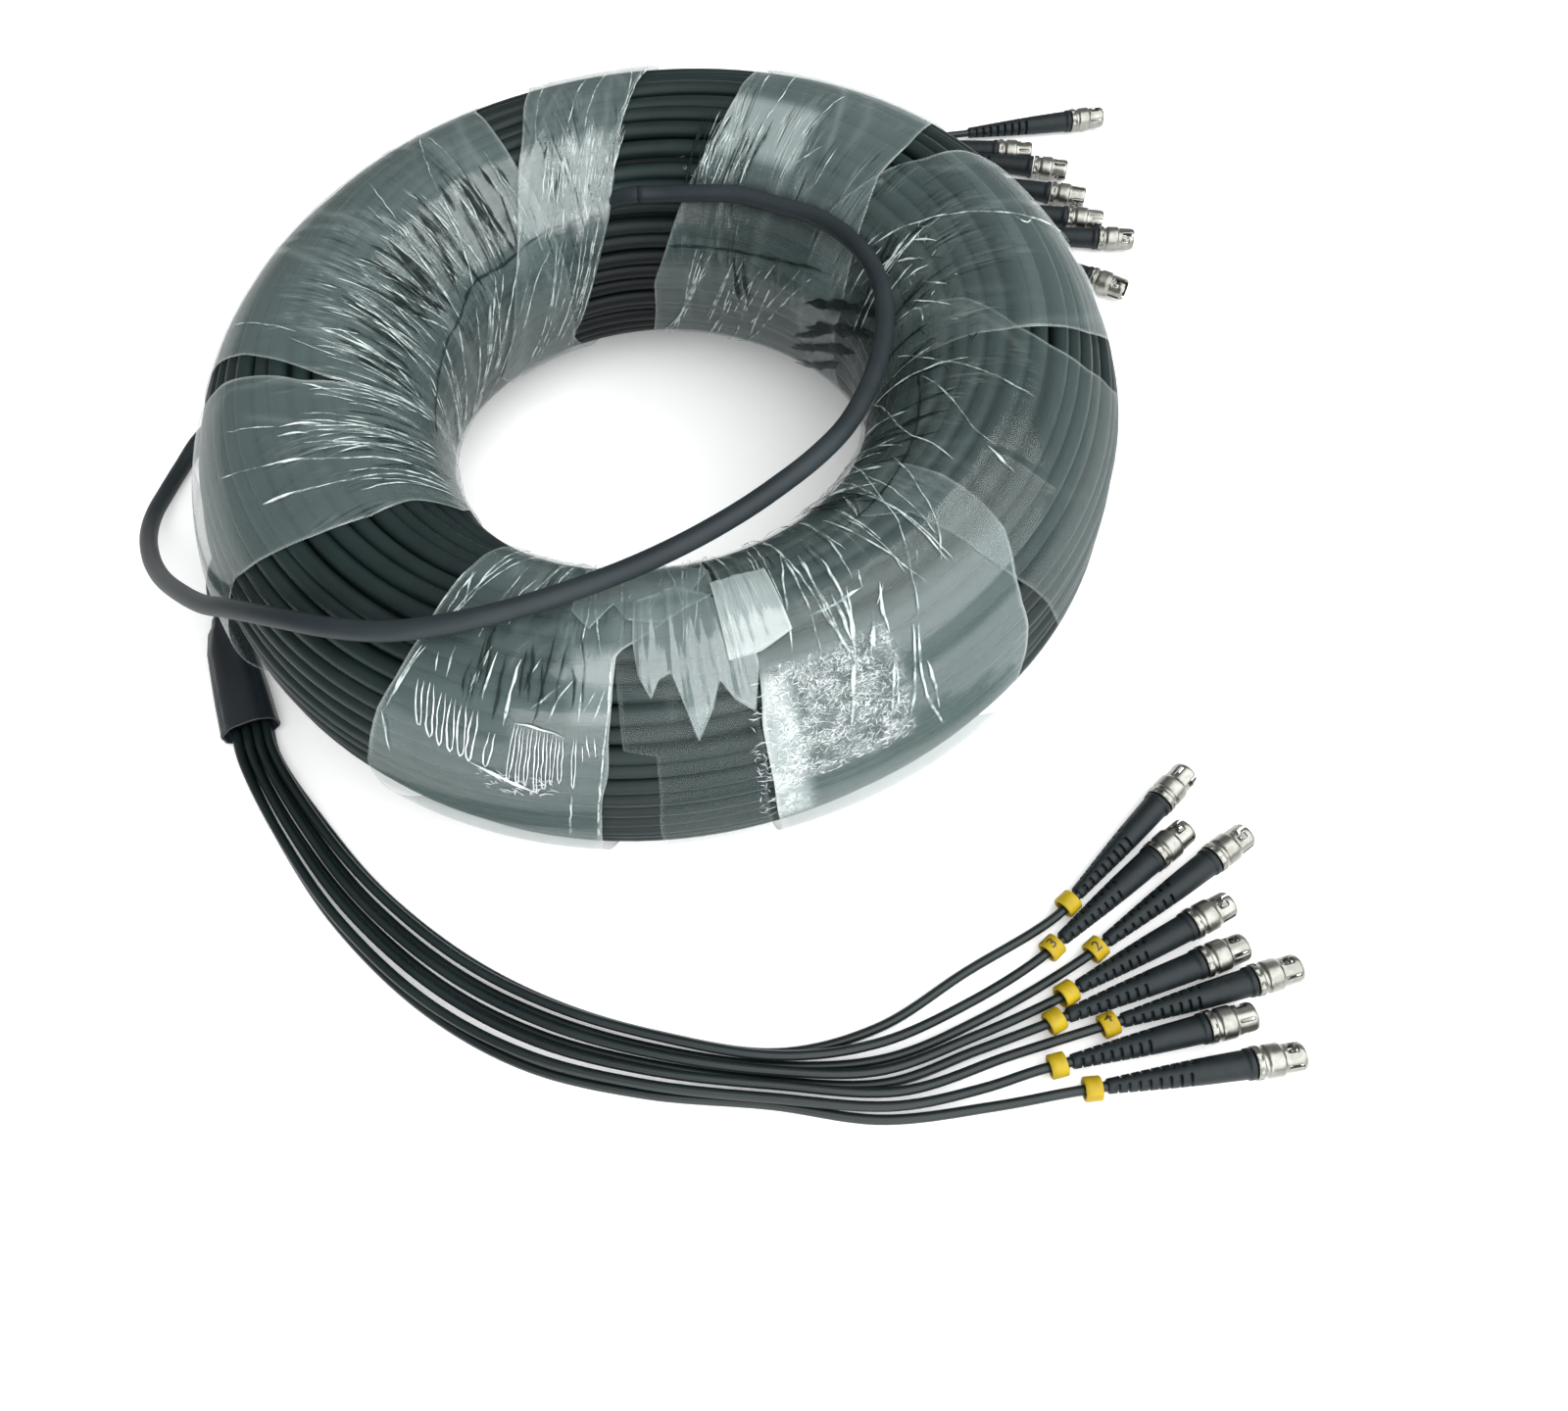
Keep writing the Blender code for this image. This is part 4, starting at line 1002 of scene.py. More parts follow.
pleats("film_pleats_f", F_PLEATS + gathered(59, 16, (-72, -44), (60, 100), (104, 150), (-5, 5), (0.3, 0.7)),
       PLEAT, 0.0011)
pleats("film_sparkle_f", F_SPARKLE, PAINTED_GLINT_PLEAT, 0.0013)
pleats("film_pleats_g", G_PLEATS + gathered(60, 14, (-168, -140), (92, 118), (140, 160), (-4, 4), (0.22, 0.45)),
       PLEAT, 0.0008)
pleats("film_sparkle_g", G_GLINTS, PAINTED_GLINT_PLEAT, 0.0011)
pleats("film_pleats_h", H_PLEATS + gathered(61, 18, (-114, -80), (70, 96), (104, 150), (-5, 5), (0.25, 0.5)),
       PLEAT, 0.0009)
pleats("film_comb_glints_h", COMB_GLINTS, PAINTED_GLINT_PLEAT, 0.0009)
# painted shade: these three pieces are dark sheets, not film
pleats("film_painted_shade_seams", SHADE_SEAMS, PAINTED_SHADE_PLEAT, 0.0011)
FLAT = (0.06, 0.12)
pleats("film_painted_shade_left", A_SHADE_LINES + B_SHADE_LINES
       + gathered(62, 40, (122, 190), (104, 128), (136, 156), (-5, 5), (0.3, 0.8), FLAT)
       + gathered(63, 18, (97, 112), (110, 120), (132, 150), (6, 12), (0.3, 0.8), FLAT)
       + gathered(64, 12, (-166, -140), (96, 118), (135, 158), (-4, 4), (0.25, 0.6), FLAT), PAINTED_SHADE_PLEAT, 0.0010)
pleats("film_painted_shade_right", gathered(65, 12, (66, 80), (104, 116), (126, 150), (2, 7), (0.3, 0.8), FLAT)
       + crumple(66, 44, (-14, 30), (104, 140), 2.4, 1.0)
       + gathered(67, 26, (-60, 30), (102, 125), (130, 165), (-12, 4), (0.5, 1.3), FLAT)
       + gathered(68, 14, (-110, -92), (46, 60), (62, 84), (-3, 3), (0.4, 0.9), FLAT), PAINTED_SHADE_PLEAT, 0.0012)

# Trunk cords

LOOP_ROUTE = [
    (-0.0065, 0.0779, 0.0827), (0.0007, 0.0779, 0.0828), (0.0120, 0.0765, 0.0842), (0.0273, 0.0738, 0.0858),
    (0.0417, 0.0672, 0.0866), (0.0561, 0.0579, 0.0885), (0.0678, 0.0409, 0.0915), (0.0736, 0.0235, 0.0940),
    (0.0746, 0.0022, 0.0972), (0.0714, -0.0193, 0.1006), (0.0665, -0.0360, 0.1034), (0.0602, -0.0500, 0.1053),
    (0.0515, -0.0622, 0.1068), (0.0420, -0.0720, 0.1074), (0.0326, -0.0800, 0.1072), (0.0212, -0.0876, 0.1062),
    (0.0095, -0.0938, 0.1048), (-0.0025, -0.0990, 0.1034), (-0.0234, -0.1067, 0.1019), (-0.0384, -0.1107, 0.1010),
    (-0.0596, -0.1119, 0.0976), (-0.0767, -0.1082, 0.0938), (-0.0925, -0.1021, 0.0892), (-0.1124, -0.0917, 0.0790),
    (-0.1260, -0.0832, 0.0690), (-0.1425, -0.0686, 0.0550), (-0.1577, -0.0526, 0.0410), (-0.1707, -0.0350, 0.0280),
    (-0.1802, -0.0173, 0.0175), (-0.1844, -0.0029, 0.0110), (-0.1850, 0.0113, 0.0065), (-0.1834, 0.0255, 0.0042),
    (-0.1804, 0.0389, 0.0034), (-0.1720, 0.0530, 0.0032), (-0.1590, 0.0625, 0.0032), (-0.1420, 0.0665, 0.0032),
]
SLEEVE_AT = np.array((-0.1520, -0.0462, 0.0062))
SLEEVE_TO = np.array((-0.1335, -0.0905, 0.0062))
SLEEVE_DIR = (SLEEVE_TO - SLEEVE_AT) / np.linalg.norm(SLEEVE_TO - SLEEVE_AT)
NEAR_LEAD = [
    (-0.1253, 0.0341, 0.0032), (-0.1392, 0.0210, 0.0032), (-0.1525, 0.0030, 0.0034), (-0.1585, -0.0130, 0.0044),
    tuple(SLEEVE_AT - SLEEVE_DIR * IN_SLEEVE), tuple(SLEEVE_AT - SLEEVE_DIR * FACE_GAP),
]
FAR_SLEEVE_AT = np.array((-0.0860, 0.1230, 0.0062))
FAR_SLEEVE_TO = np.array((-0.0560, 0.1605, 0.0062))
FAR_DIR = (FAR_SLEEVE_TO - FAR_SLEEVE_AT) / np.linalg.norm(FAR_SLEEVE_TO - FAR_SLEEVE_AT)
FAR_LEAD = [
    (-0.1174, 0.0557, 0.0032), (-0.1150, 0.0730, 0.0032), (-0.1080, 0.0910, 0.0040),
    tuple(FAR_SLEEVE_AT - FAR_DIR * IN_SLEEVE), tuple(FAR_SLEEVE_AT - FAR_DIR * FACE_GAP),
]


def trunk(name, route):
    """A stretch of trunk cable that is free of the coil, as a tube named a cord that stands for the CAD node of its
    name.
    """
    path = smooth_route(route, 0.0025)
    obj = tube(name + "_cord", path, TRUNK_D / 2.0, 24, LOOP_JACKET)
    show(obj, "cable", "jacket", name)


trunk("trunk_loop", LOOP_ROUTE)
# the loose turn goes on as a turn of the coil: from its start it sinks between the turns, under the film
root_theta = np.linspace(math.radians(94.8), math.radians(105.0), 28)
root_share = (root_theta - root_theta[0]) / (root_theta[-1] - root_theta[0])
root_start = np.array(LOOP_ROUTE[0]) + np.array((OVERLAP, 0.0, 0.0))
root_path = on_coil(root_theta, math.radians(140.0) + 0.09 * root_share ** 2,
                    0.0027 - 0.0062 * root_share ** 2 * (3.0 - 2.0 * root_share))
root_path = root_path + (root_start - root_path[0]) * ((1.0 - root_share) ** 2 * (1.0 + 2.0 * root_share))[:, None]
show(tube("trunk_loop_root", root_path, TRUNK_D / 2.0 - TUCKED, 24, LOOP_JACKET), "cable", "jacket")
trunk("near_trunk_lead", NEAR_LEAD)
trunk("far_trunk_lead", FAR_LEAD)


def joined(name, start, heading, end, arriving, pull):
    """A cubic stretch of trunk cable from one point and heading to another, pull being the length of both tangents.

    At share t it is (2t^3-3t^2+1) start + (t^3-2t^2+t) pull heading + (3t^2-2t^3) end + (t^3-t^2) pull arriving.
    """
    t = np.linspace(0.0, 1.0, 40)[:, None]
    start, end = np.array(start), np.array(end)
    heading = np.array(heading) / np.linalg.norm(heading)
    arriving = np.array(arriving) / np.linalg.norm(arriving)
    path = ((2.0 * t ** 3 - 3.0 * t ** 2 + 1.0) * (start - heading * OVERLAP)
            + (t ** 3 - 2.0 * t ** 2 + t) * pull * heading
            + (3.0 * t ** 2 - 2.0 * t ** 3) * (end + arriving * OVERLAP) + (t ** 3 - t ** 2) * pull * arriving)
    show(tube(name, path, TRUNK_D / 2.0 - TUCKED, 24, LOOP_JACKET), "cable", "jacket")


# the loose turn bends back under the coil's side and is the near end; the far end comes out from under the coil
joined("trunk_bend", LOOP_ROUTE[-1], (0.0178, 0.0040, 0.0), NEAR_LEAD[0], (-0.0139, -0.0131, 0.0), 0.045)
joined("far_trunk_root", (-0.1095, 0.0465, 0.0078), (-0.2, 1.0, -0.35), FAR_LEAD[0], (0.0024, 0.0173, 0.0), 0.010)


def sleeve(name, node, start, direction, seed):
    """A shrunk sleeve: at each distance along, a flattened ring whose width and height follow the table.

    The ring is a soft-cornered oval, |x/w|^n + |y/h|^n = 1 with n = 2.3, with ribs where the legs press
    through towards the wide end, small lumps near the trunk, and a rolled rim at the wide end.
    """
    along = np.array([0.0, 0.0004, 0.0015, 0.003, 0.0045, 0.006, 0.008, 0.010, 0.012, 0.014, 0.017, 0.020, 0.024,
                      0.028, 0.032, 0.036, 0.040, 0.043, 0.0455, 0.0465, 0.0472, 0.0478, SLEEVE_LEN, SLEEVE_LEN,
                      SLEEVE_LEN - 0.004])
    stations = [0.0, 0.003, 0.006, 0.014, 0.034, 0.0465, 0.0475, 0.048]
    wide = np.interp(along, stations, [0.40, 0.47, 0.64, 0.82, 0.94, 0.98, 1.0, 0.99])
    high = np.interp(along, stations, [0.62, 0.72, 0.84, 0.97, 0.98, 0.97, 1.0, 0.98])
    wide[-2:] *= 0.90
    high[-2:] *= 0.86
    sides = 56
    a = np.arange(sides) * (2.0 * math.pi / sides)
    power = 2.0 / 2.3
    x = np.sign(np.cos(a)) * np.abs(np.cos(a)) ** power
    y = np.sign(np.sin(a)) * np.abs(np.sin(a)) ** power
    ribs = 0.045 * np.clip(along / 0.02, 0.0, 1.0)[:, None] * (np.abs(np.sin(a * 4.0 + 0.4))[None, :] - 0.6)
    lump = (0.10 * np.exp(-((along - 0.0055) / 0.004) ** 2)[:, None]
            * (np.sin(3.0 * a + seed)[None, :] + 0.7 * np.sin(5.0 * a + 2.0 * seed)[None, :]))
    size = np.minimum(1.0 + ribs + lump, 1.02)
    d, side, over = across(direction)
    base = np.asarray(start) + d * along[:, None]
    rings = (base[:, None, :] + side * (x * (SLEEVE_W * wide)[:, None] * size)[:, :, None]
             + over * (y * (SLEEVE_H * high)[:, None] * size)[:, :, None])
    rings[..., 2] = np.maximum(rings[..., 2], 0.0004)
    show(capped(name, rings, base[0], base[-1], SHRINK), "cable", "heat_shrink", node)


sleeve("near_sleeve_shrunk", "near_breakout_sleeve", SLEEVE_AT, SLEEVE_DIR, 1.0)
sleeve("far_sleeve_shrunk", "far_breakout_sleeve", FAR_SLEEVE_AT, FAR_DIR, 2.0)


# Connectors

def boot(name, start, axis, length, turn=0.0):
    """Strain-relief boot: radius grows from the leg to the plug, with slots cut in from two sides by turns.

    The radius is the taper less 0.9 mm inside a slot. Slot n starts 2.6 mm + 1.55 n mm from the rear, is 0.8 mm
    wide, and spans the 132 degrees about one side when n is even and about the other side when it is odd.
    """
    slots = np.arange(16)
    steep = 0.00004
    at = 0.0026 + 0.00155 * slots[:, None] + np.array([-steep, steep, 0.0008 - steep, 0.0008 + steep])
    front = (0.0285, 0.0300, 0.0340, 0.0390, 0.0415, 0.0425, 0.0427, 0.0430, 0.0441, 0.0445, 0.0445)
    marks = np.concatenate([(0.0, 0.0004, 0.0012), at.ravel(), front])
    inside = np.where([False, True, True, False], slots[:, None], -1)
    slot_of = np.concatenate([(-1, -1, -1), inside.ravel(), np.full(len(front), -1)])
    taper = np.interp(marks, [0.0, 0.0004, 0.0012, 0.010, 0.020, 0.0285, 0.036, 0.0425, 0.0427, 0.0430, 0.0441, 0.0445],
                      [0.0019, 0.0022, 0.00225, 0.0028, 0.0034, 0.0038, 0.00405, 0.0042, 0.0045, 0.0046, 0.0046,
                       0.0044])
    taper[-1] = 0.0030
    cols = 40
    a = np.arange(cols) * (2.0 * math.pi / cols)
    centre = np.where(slot_of % 2 == 0, 0.0, math.pi)[:, None]
    off = np.abs((a[None, :] - centre + math.pi) % (2.0 * math.pi) - math.pi)
    cut = (slot_of[:, None] >= 0) & (off < math.radians(67.0))
    radii = taper[:, None] - np.where(cut, 0.0009 + 0.00002 * slot_of[:, None], 0.0)
    level = cut.astype(int)
    rolled = np.roll(level, -1, axis=1)
    walls = (level[:-1] != level[1:]) | (rolled[:-1] != rolled[1:]) | (level[:-1] != rolled[:-1])
    smooth = np.concatenate([~walls.ravel(), np.ones(2 * cols, bool)])
    return revolved(name, marks * (length / BOOT_LEN), radii, start, axis, RUBBER, turn, smooth=smooth)


def nut(name, start, axis, turn=0.0):
    """Bayonet coupling nut: a shell on a grid of distance along and angle, with windows left out.

    The outer radius follows the profile and is 0.35 mm less in the dimples of the rear ring. A cell is left out
    where a bayonet slot or a slit is, and each border between a kept and a left-out cell gets a wall from the
    outer to the inner surface.
    """
    mm = np.array([0.0, 0.15, 0.5, 0.8, 1.1, 1.4, 1.75, 1.95, 2.15, 2.4, 3.2, 3.5, 3.8, 4.2, 5.2, 6.4, 7.4, 7.8,
                   8.1, 8.5, 9.0, 9.5, 10.0, 10.5, 11.0, 11.5, 12.0, 12.5, 13.0, 13.5, 13.9, 14.3, 14.55, 14.7])
    outer = np.interp(mm, [0.0, 0.15, 1.75, 1.95, 2.15, 2.4, 3.2, 3.5, 3.8, 7.4, 7.8, 8.1, 8.5, 13.5, 13.9, 14.3,
                           14.55, 14.7],
                      [4.75, 4.90, 4.90, 4.75, 4.40, 4.30, 4.30, 4.65, 4.85, 4.90, 4.80, 4.50, 4.35, 4.30, 4.22,
                       4.05, 3.90, 3.75])
    bore = 3.6
    cols = 56
    rows = len(mm)
    degrees = np.arange(cols) * (360.0 / cols)
    dimple = ((mm > 0.4) & (mm < 1.5))[:, None] & (np.arange(cols) % 7 < 3)
    out = outer[:, None] - np.where(dimple, 0.35, 0.0)
    # flats on the front barrel, at both sides of the slots
    off = np.radians(degrees % 90.0 - 45.0)
    out = np.where((mm > 8.2)[:, None], np.minimum(out, np.where(np.abs(off) < 0.6, 4.15 / np.cos(off), 1000.0)), out)
    s = ((mm[:-1] + mm[1:]) / 2.0)[:, None]
    # angles from the middle of the nearer window and of the nearer slit
    off = (degrees + 180.0 / cols) % 180.0 - 90.0
    slit = (degrees + 180.0 / cols + 90.0) % 180.0 - 90.0
    entry = (np.abs(off - 14.0) < 10.0) & (s > 11.6)
    sweep = (np.abs(off) < 24.0) & (s > 9.9) & (s < 12.1)
    pocket = (np.abs(off + 20.0) < 10.5) & (s > 9.4) & (s < 12.7)
    tooth = (np.abs(off + 2.0) < 4.0) & (s > 11.3)
    kept = ~(((entry | sweep | pocket) & ~tooth) | ((np.abs(slit) < 6.5) & (s > 9.0) & (s < 13.3)))
    d, side, over = across(axis)
    line = np.asarray(start, float) + d * (mm * 0.001)[:, None]
    ring = directions(cols, side, over, turn)
    verts = [(line[:, None, :] + ring * size).reshape(-1, 3) for size in (out[:, :, None] * 0.001, bore * 0.001)]
    count = rows * cols

    def walls(first, second, turned):
        """Quads between the outer and the inner surface along edges of the grid, some of them turned over."""
        made = np.stack([first, second, second + count, first + count], axis=1)
        made[turned] = made[turned][:, ::-1]
        return made

    skin = grid_quads(rows, cols)[kept.ravel()]
    padded = np.pad(kept, ((1, 1), (0, 0)))
    r, c = np.nonzero(padded[1:] != padded[:-1])
    across_axis = walls(r * cols + c, r * cols + (c + 1) % cols, padded[1:][r, c])
    r, c = np.nonzero(kept != np.roll(kept, 1, axis=1))
    along_axis = walls(r * cols + c, (r + 1) * cols + c, ~kept[r, c])
    quads = np.vstack([skin, skin[:, ::-1] + count, across_axis, along_axis])
    steep = (np.abs(np.diff(out, axis=0)) > 0.28)[kept]
    face = np.arange(len(quads))
    smooth = np.concatenate([~steep, face[len(skin):] < 2 * len(skin)])
    # the inside faces take the darker nickel, as painted shade
    inner = (face >= len(skin)) & (face < 2 * len(skin))
    return build(name, np.vstack(verts), quads, [NICKEL, NICKEL_PAINTED_SHADE], smooth=smooth, mat_index=inner)


def plug(name, start, axis):
    """Connector body: a metal barrel with a groove, a narrower housing with two key pins, and a white ferrule."""
    mm = np.array([0.0, 0.2, 5.6, 5.8, 6.4, 6.6, 7.2, 7.4, 9.8, 10.1, 10.1, 13.9, 14.2, 14.2])
    radius = np.array([3.1, 3.3, 3.3, 3.2, 2.6, 2.6, 2.9, 2.9, 2.9, 2.6, 1.25, 1.25, 1.05, 0.2])
    cols = 28
    radii = np.repeat((radius * 0.001)[:, None], cols, axis=1)
    index = np.concatenate([np.repeat(np.where(mm[:-1] >= 10.05, 1, 0), cols), np.zeros(cols), np.ones(cols)])
    return revolved(name, mm * 0.001, radii, start, axis, [NICKEL, CERAMIC], mat_index=index)


def pins(name, start, axis, turn):
    """Two key pins that stand out of the connector body into the nut's windows, as one piece of short rods."""
    d, side, over = across(axis)
    base = np.asarray(start) + d * 0.0109
    heights = np.array([0.0024, 0.0034, 0.00355])
    sizes = np.array([0.00062, 0.00062, 0.00042])
    cols = 14
    verts, quads, tris = [], [], []
    for n, at in enumerate((math.radians(72.0), math.radians(252.0))):
        out = side * math.cos(at + turn) + over * math.sin(at + turn)
        rings = base + out * heights[:, None, None] + directions(cols, d, np.cross(d, out)) * sizes[:, None, None]
        verts.append(np.vstack([rings.reshape(-1, 3), base + out * heights[0], base + out * heights[-1]]))
        quads.append(grid_quads(3, cols, start=n * (3 * cols + 2)))
        tris.append(end_fans(3, cols, 3 * cols) + n * (3 * cols + 2))
    return build(name, np.vstack(verts), np.vstack(quads), NICKEL, np.vstack(tris))


def marker_ring(name, middle, axis, tilt):
    """A marker ring: a short tube with rounded rims. The profile goes out, along and back with soft corners."""
    half = 0.0025
    inner = 0.0026
    outer = RING_OUT_R
    soft = 0.00025
    profile = np.array([(-half + soft, inner), (-half, inner + soft), (-half, outer - soft), (-half + soft, outer),
                        (-half * 0.4, outer + 0.00002), (half * 0.4, outer + 0.00002),
                        (half - soft, outer), (half, outer - soft), (half, inner + soft), (half - soft, inner)])
    d, side, over = across(np.asarray(axis) + np.array(tilt))
    along, radius = profile.T[:, :, None, None]
    cols = 40
    verts = (np.asarray(middle) + d * along + directions(cols, side, over) * radius).reshape(-1, 3)
    return build(name, verts, grid_quads(len(profile), cols, True, True), YELLOW), (d, side, over)


def digit(name, text, middle, frame_axes, at_deg):
    """A printed number laid on the marker ring: its flat mesh is bent round the ring's axis.

    A flat point (x, y) goes x along the axis and y / radius round it, 0.03 mm above the ring.
    """
    data = bpy.data.curves.new(name, "FONT")
    data.body = text
    data.size = 0.0046
    data.align_x = "CENTER"
    data.align_y = "CENTER"
    data.extrude = 0.00003
    data.offset = 0.00006
    flat = bpy.data.objects.new(name + "_flat", data)
    bpy.context.scene.collection.objects.link(flat)
    bpy.context.view_layer.update()
    mesh = bpy.data.meshes.new_from_object(flat.evaluated_get(bpy.context.evaluated_depsgraph_get()))
    bpy.data.objects.remove(flat, do_unlink=True)
    co = np.zeros(len(mesh.vertices) * 3)
    mesh.vertices.foreach_get("co", co)
    co = co.reshape(-1, 3)
    d, side, over = frame_axes
    radius = RING_OUT_R + 0.00004 + co[:, 2]
    a = math.radians(at_deg) + co[:, 1] / RING_OUT_R
    placed = (np.asarray(middle) + d * co[:, :1]
              + (side * np.cos(a)[:, None] + over * np.sin(a)[:, None]) * radius[:, None])
    mesh.vertices.foreach_set("co", placed.ravel())
    mesh.materials.clear()
    mesh.materials.append(INK)
    mesh.update()
    obj = bpy.data.objects.new(name, mesh)
    bpy.context.scene.collection.objects.link(obj)
    return obj


# Near end

BUNDLE = [
    (-0.1111, -0.1260), (-0.0885, -0.1520), (-0.0585, -0.1762), (-0.0290, -0.1912), (0.0035, -0.2000),
    (0.0400, -0.2045),
]
LANES = {
    1: (LOW, (-5.0, -6.6, -8.0, -9.4, -9.6, -8.6, -7.6)),
    2: (HIGH, (-5.0, -5.6, -7.0, -8.0, -8.4, -7.6, -6.0)),
    3: (LOW, (-1.7, -2.6, -3.6, -4.6, -5.2, -4.6, -3.8)),
    4: (HIGH, (-1.7, -1.6, -1.8, -2.4, -2.8, -2.4, -1.6)),
    5: (LOW, (1.7, 1.8, 1.2, 0.8, 0.2, 0.0, 0.6)),
    6: (HIGH, (1.7, 2.4, 2.8, 3.0, 3.0, 2.6, 2.4)),
    7: (HIGH, (5.0, 6.0, 6.8, 7.6, 7.4, 6.6, 6.2)),
    8: (LOW, (5.0, 6.4, 7.8, 9.2, 9.8, 8.6, 7.4)),
}
# Each near connector: rear of its boot, tip of its nut, route points before it, number on its ring, where the
# number sits round the ring in degrees, how the nut is turned, and how the ring is tipped
ENDS = {
    1: ((0.1333, -0.1489), (0.1736, -0.1075), ((0.0700, -0.1900), (0.0970, -0.1735)), "1", -60, 1.9, (0.1, 0.0, 0.08)),
    2: ((0.1271, -0.1634), (0.1703, -0.1277), ((0.0700, -0.1950), (0.0975, -0.1830)), "3", 100, 0.5, (0.0, 0.05, 0.06)),
    3: ((0.1360, -0.1674), (0.1888, -0.1296), ((0.0720, -0.1990), (0.1020, -0.1870)), "2", 92, 0.2, (0.0, 0.1, 0.10)),
    4: ((0.1303, -0.1784), (0.1795, -0.1528), ((0.0700, -0.2030), (0.0980, -0.1932)), "5", 250, 0.3, (0.0, 0.1, -0.1)),
    5: ((0.1260, -0.1871), (0.1816, -0.1664), ((0.0720, -0.2060), (0.0980, -0.1972)), "6", 230, 0.9, (0.0, 0.16, 0.05)),
    6: ((0.1419, -0.1886), (0.1964, -0.1732), ((0.0760, -0.2088), (0.1080, -0.1988)), "4", 112, 0.8, (0.0, 0.12, 0.1)),
    7: ((0.1256, -0.2006), (0.1803, -0.1878), ((0.0740, -0.2130), (0.0990, -0.2082)), "7", 240, 1.2, (0.0, 0.0, 0.06)),
    8: ((0.1349, -0.2077), (0.1922, -0.1996), ((0.0700, -0.2163), (0.1020, -0.2130)), "8", 250, 0.7, (0.0, -0.06, 0.0)),
}


def connector(prefix, node_names, start, axis, length, body, turn, ring_at, ring_tip, number, number_at, path):
    """All that sits on one leg: the leg itself, its ring with a number, its boot, plug, pins and nut."""
    leg_node, ring_node, boot_node, plug_node, nut_node = node_names
    leg = show(tube(prefix + "_leg_cord", path, LEG_D / 2.0, 18, LEG_JACKET), "cable", "leg_jacket", leg_node)
    ring, axes = marker_ring(prefix + "_ring", ring_at, axis, ring_tip)
    mark = digit(prefix + "_ring_number", number, ring_at, axes, number_at)
    rubber = boot(prefix + "_boot_ribbed", start, axis, length, turn * 0.25)
    nut_at = start + axis * (length + GAP)
    barrel = plug(prefix + "_plug_body", nut_at, axis)
    keys = pins(prefix + "_plug_pins", nut_at, axis, turn)
    shell = nut(prefix + "_nut_bayonet", nut_at, axis, turn)
    show(ring, "cable", "yellow_plastic", ring_node)
    show(mark, "cable", "yellow_plastic")
    show(rubber, "cable", "boot_rubber", boot_node)
    show(barrel, "cable", "white_ceramic", plug_node)
    show(keys, "cable", "nickel", plug_node)
    show(shell, body, "nickel", nut_node)


def placed_end(rear, tip):
    """The rear and tip of a connector at their heights, its axis and its length."""
    rear = np.array((*rear, AXIS_REAR_Z))
    tip = np.array((*tip, AXIS_TIP_Z))
    full = float(np.linalg.norm(tip - rear))
    return rear, tip, (tip - rear) / full, full


def leg_route(exit_at, heading, bundle, lane, lead_in, rear, axis, back):
    """A leg's way from its sleeve to its boot, as points at even spacing.

    It runs beside the middle line of the bundle, at its lane's height and at a distance in millimetres across it
    for each of the line's points, and then over its own lead-in points up to the boot.
    """
    lane_z, offsets = lane
    centre = [exit_at[:2]] + [np.array(b) for b in bundle]
    route = []
    for n, offset in enumerate(offsets):
        ahead = heading[:2] if n == 0 else centre[min(n + 1, len(centre) - 1)] - centre[n - 1]
        ahead = ahead / np.linalg.norm(ahead)
        place = np.array((*(centre[n] + np.array((ahead[1], -ahead[0])) * (offset * 0.001)), lane_z))
        route += [place - heading * 0.004, place + heading * 0.009] if n == 0 else [place]
    for n, place in enumerate(lead_in):
        share = (n + 1.0) / (len(lead_in) + 1.0)
        route.append(np.array((*place, lane_z + (AXIS_REAR_Z - lane_z) * share)))
    return smooth_route(route + [rear - axis * back, rear + axis * INTO_BOOT], 0.003)


def ring_place(rear, axis, back):
    """The middle of a marker ring that stands on the floor, behind the boot."""
    middle = rear - axis * back
    return np.array((middle[0], middle[1], RING_OUT_R + 0.0002))


near_exit = SLEEVE_AT + SLEEVE_DIR * (SLEEVE_LEN + FACE_GAP)
for num in range(1, 9):
    rear, tip, lead_in, number, number_at, turn_by, ring_tip = ENDS[num]
    rear, tip, axis, full = placed_end(rear, tip)
    # the boot keeps its length where the connector is longer than boot and nut together
    boot_len = min(BOOT_LEN, full - NUT_LEN)
    rear = tip - axis * (NUT_LEN + boot_len)
    names = tuple(t % num for t in ("near_leg_%d", "near_marker_ring_%d", "near_boot_%d", "near_plug_%d",
                                    "near_coupling_nut_%d"))
    connector("near_%d" % num, names, rear, axis, boot_len, "nut_%d" % num, turn_by,
              ring_place(rear, axis, 0.0042), ring_tip, number, number_at,
              leg_route(near_exit, SLEEVE_DIR, BUNDLE, LANES[num], lead_in, rear, axis, 0.0095))

# Far end

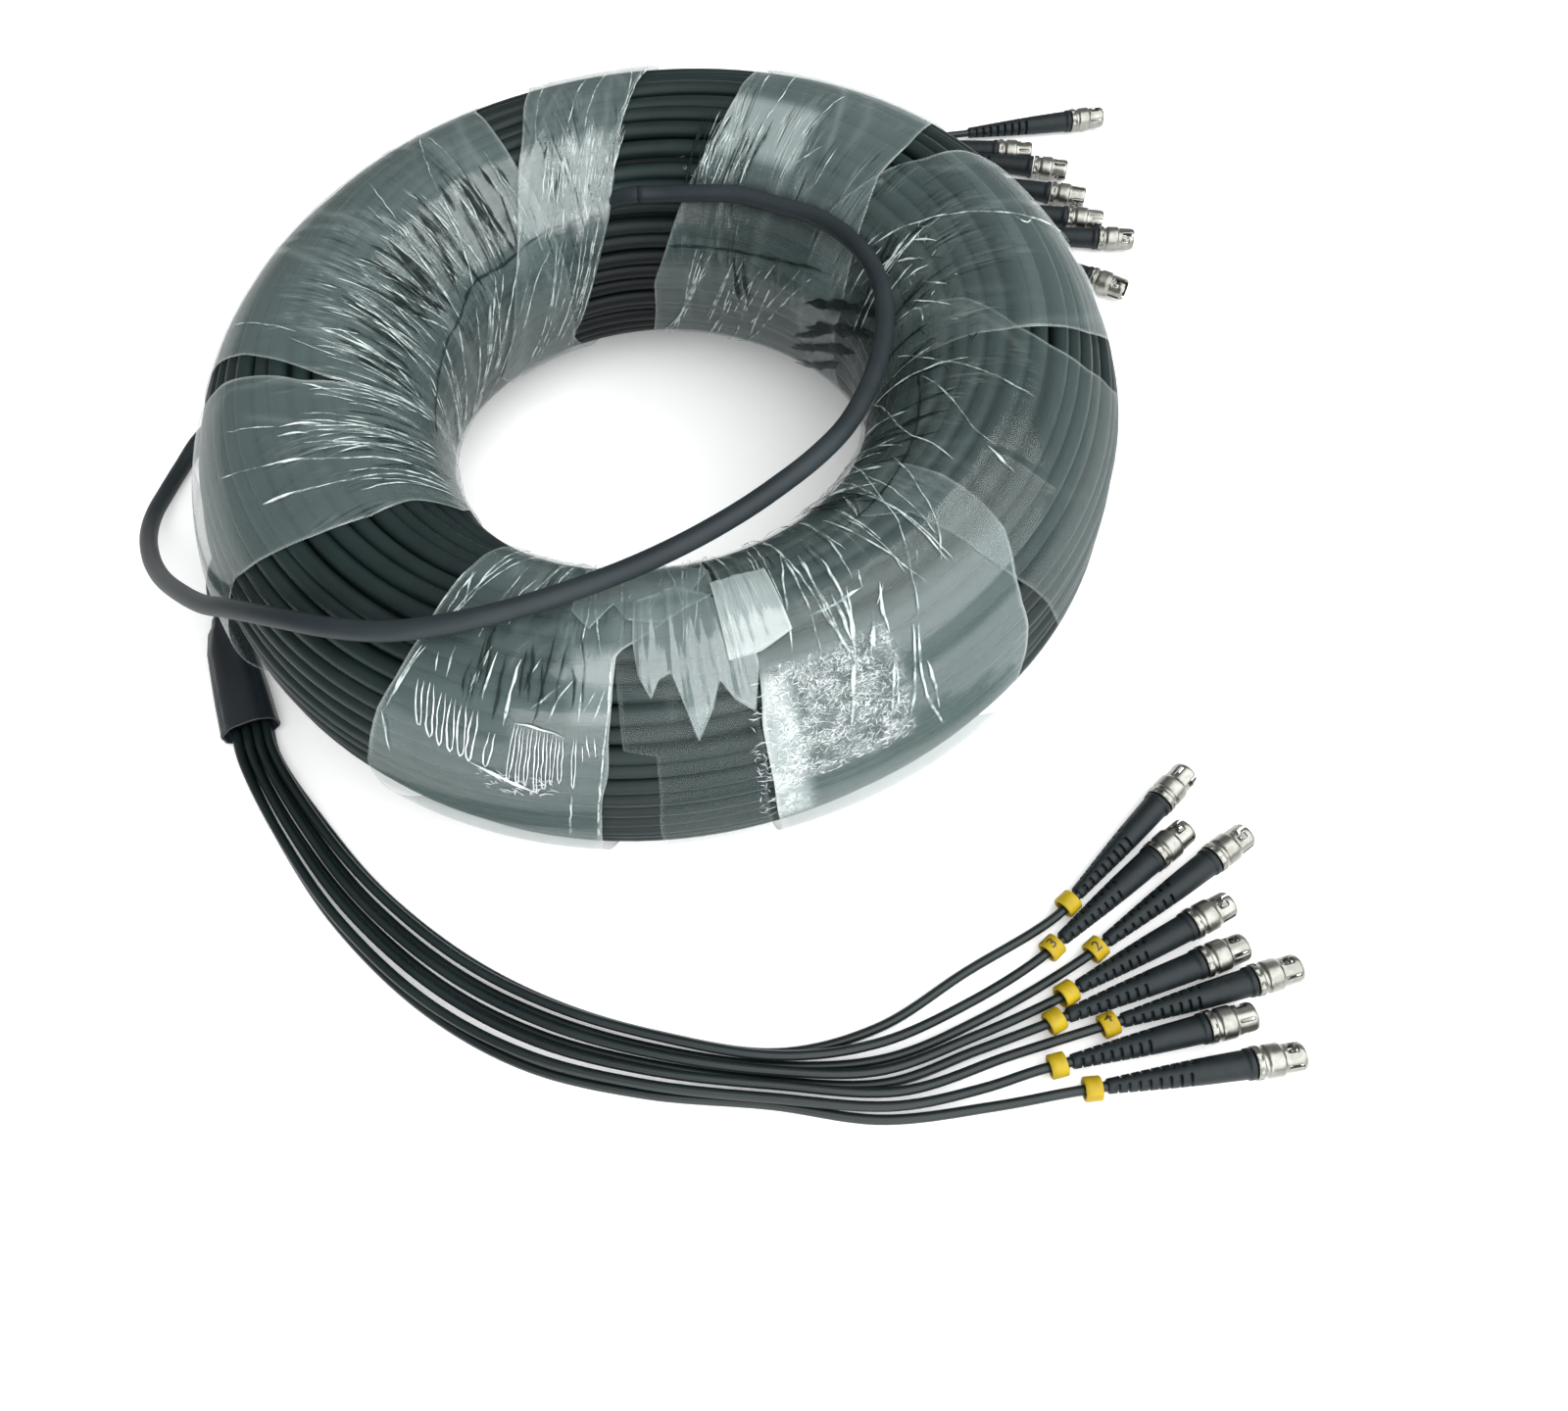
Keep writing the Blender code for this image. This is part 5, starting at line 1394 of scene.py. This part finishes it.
FAR_ENDS = {
    1: ((0.1280, 0.2188), (0.1893, 0.2278), ((0.0850, 0.2140),)),
    2: ((0.0960, 0.2096), (0.1548, 0.2032), ((0.0700, 0.2078),)),
    3: ((0.1110, 0.2028), (0.1692, 0.1906), ((0.0760, 0.2033),)),
    4: ((0.1174, 0.1878), (0.1749, 0.1724), ((0.0800, 0.1975),)),
    5: ((0.1222, 0.1689), (0.1806, 0.1575), ((0.0780, 0.1915), (0.0990, 0.1800))),
    6: ((0.1329, 0.1512), (0.1921, 0.1460), ((0.0740, 0.1895), (0.0960, 0.1745), (0.1130, 0.1602))),
    7: ((0.1330, 0.1450), (0.1845, 0.1153), ((0.0680, 0.1855), (0.0890, 0.1690), (0.1080, 0.1562))),
    8: ((0.0100, 0.1745), (0.0693, 0.1715), ()),
}
FAR_BUNDLE = [(-0.0400, 0.1755), (-0.0100, 0.1890), (0.0400, 0.1985)]
FAR_LANES = {
    1: (HIGH, (-5.0, -5.4, -6.2, -7.0)), 2: (LOW, (-5.0, -5.4, -6.2, -6.6)),
    3: (HIGH, (-1.7, -1.8, -2.2, -2.6)), 4: (LOW, (-1.7, -1.8, -2.2, -2.4)),
    5: (HIGH, (1.7, 1.8, 1.8, 1.4)), 6: (LOW, (1.7, 1.8, 1.8, 1.6)),
    7: (HIGH, (5.0, 5.4, 5.8, 5.2)), 8: (LOW, (5.0, 5.6)),
}
far_exit = FAR_SLEEVE_AT + FAR_DIR * (SLEEVE_LEN + FACE_GAP)
for num in range(1, 9):
    rear, tip, lead_in = FAR_ENDS[num]
    rear, tip, axis, full = placed_end(rear, tip)
    # the ring of leg 1 has slid back along its leg
    connector("far_%d" % num, ("far_pigtail_%d" % num,) * 5, rear, axis, full - NUT_LEN, "cable", 0.4 * num,
              ring_place(rear, axis, 0.0195 if num == 1 else 0.0045), (0.0, 0.0, 0.05), str(num), 60 + 25 * num,
              leg_route(far_exit, FAR_DIR, FAR_BUNDLE, FAR_LANES[num], lead_in, rear, axis, 0.010))

# Floor

floor_verts = np.array([(-3.0, -3.0, -0.0001), (3.0, -3.0, -0.0001), (3.0, 3.0, -0.0001), (-3.0, 3.0, -0.0001)])
floor = build("floor", floor_verts, [(0, 1, 2, 3)], FLOOR, closed=False)
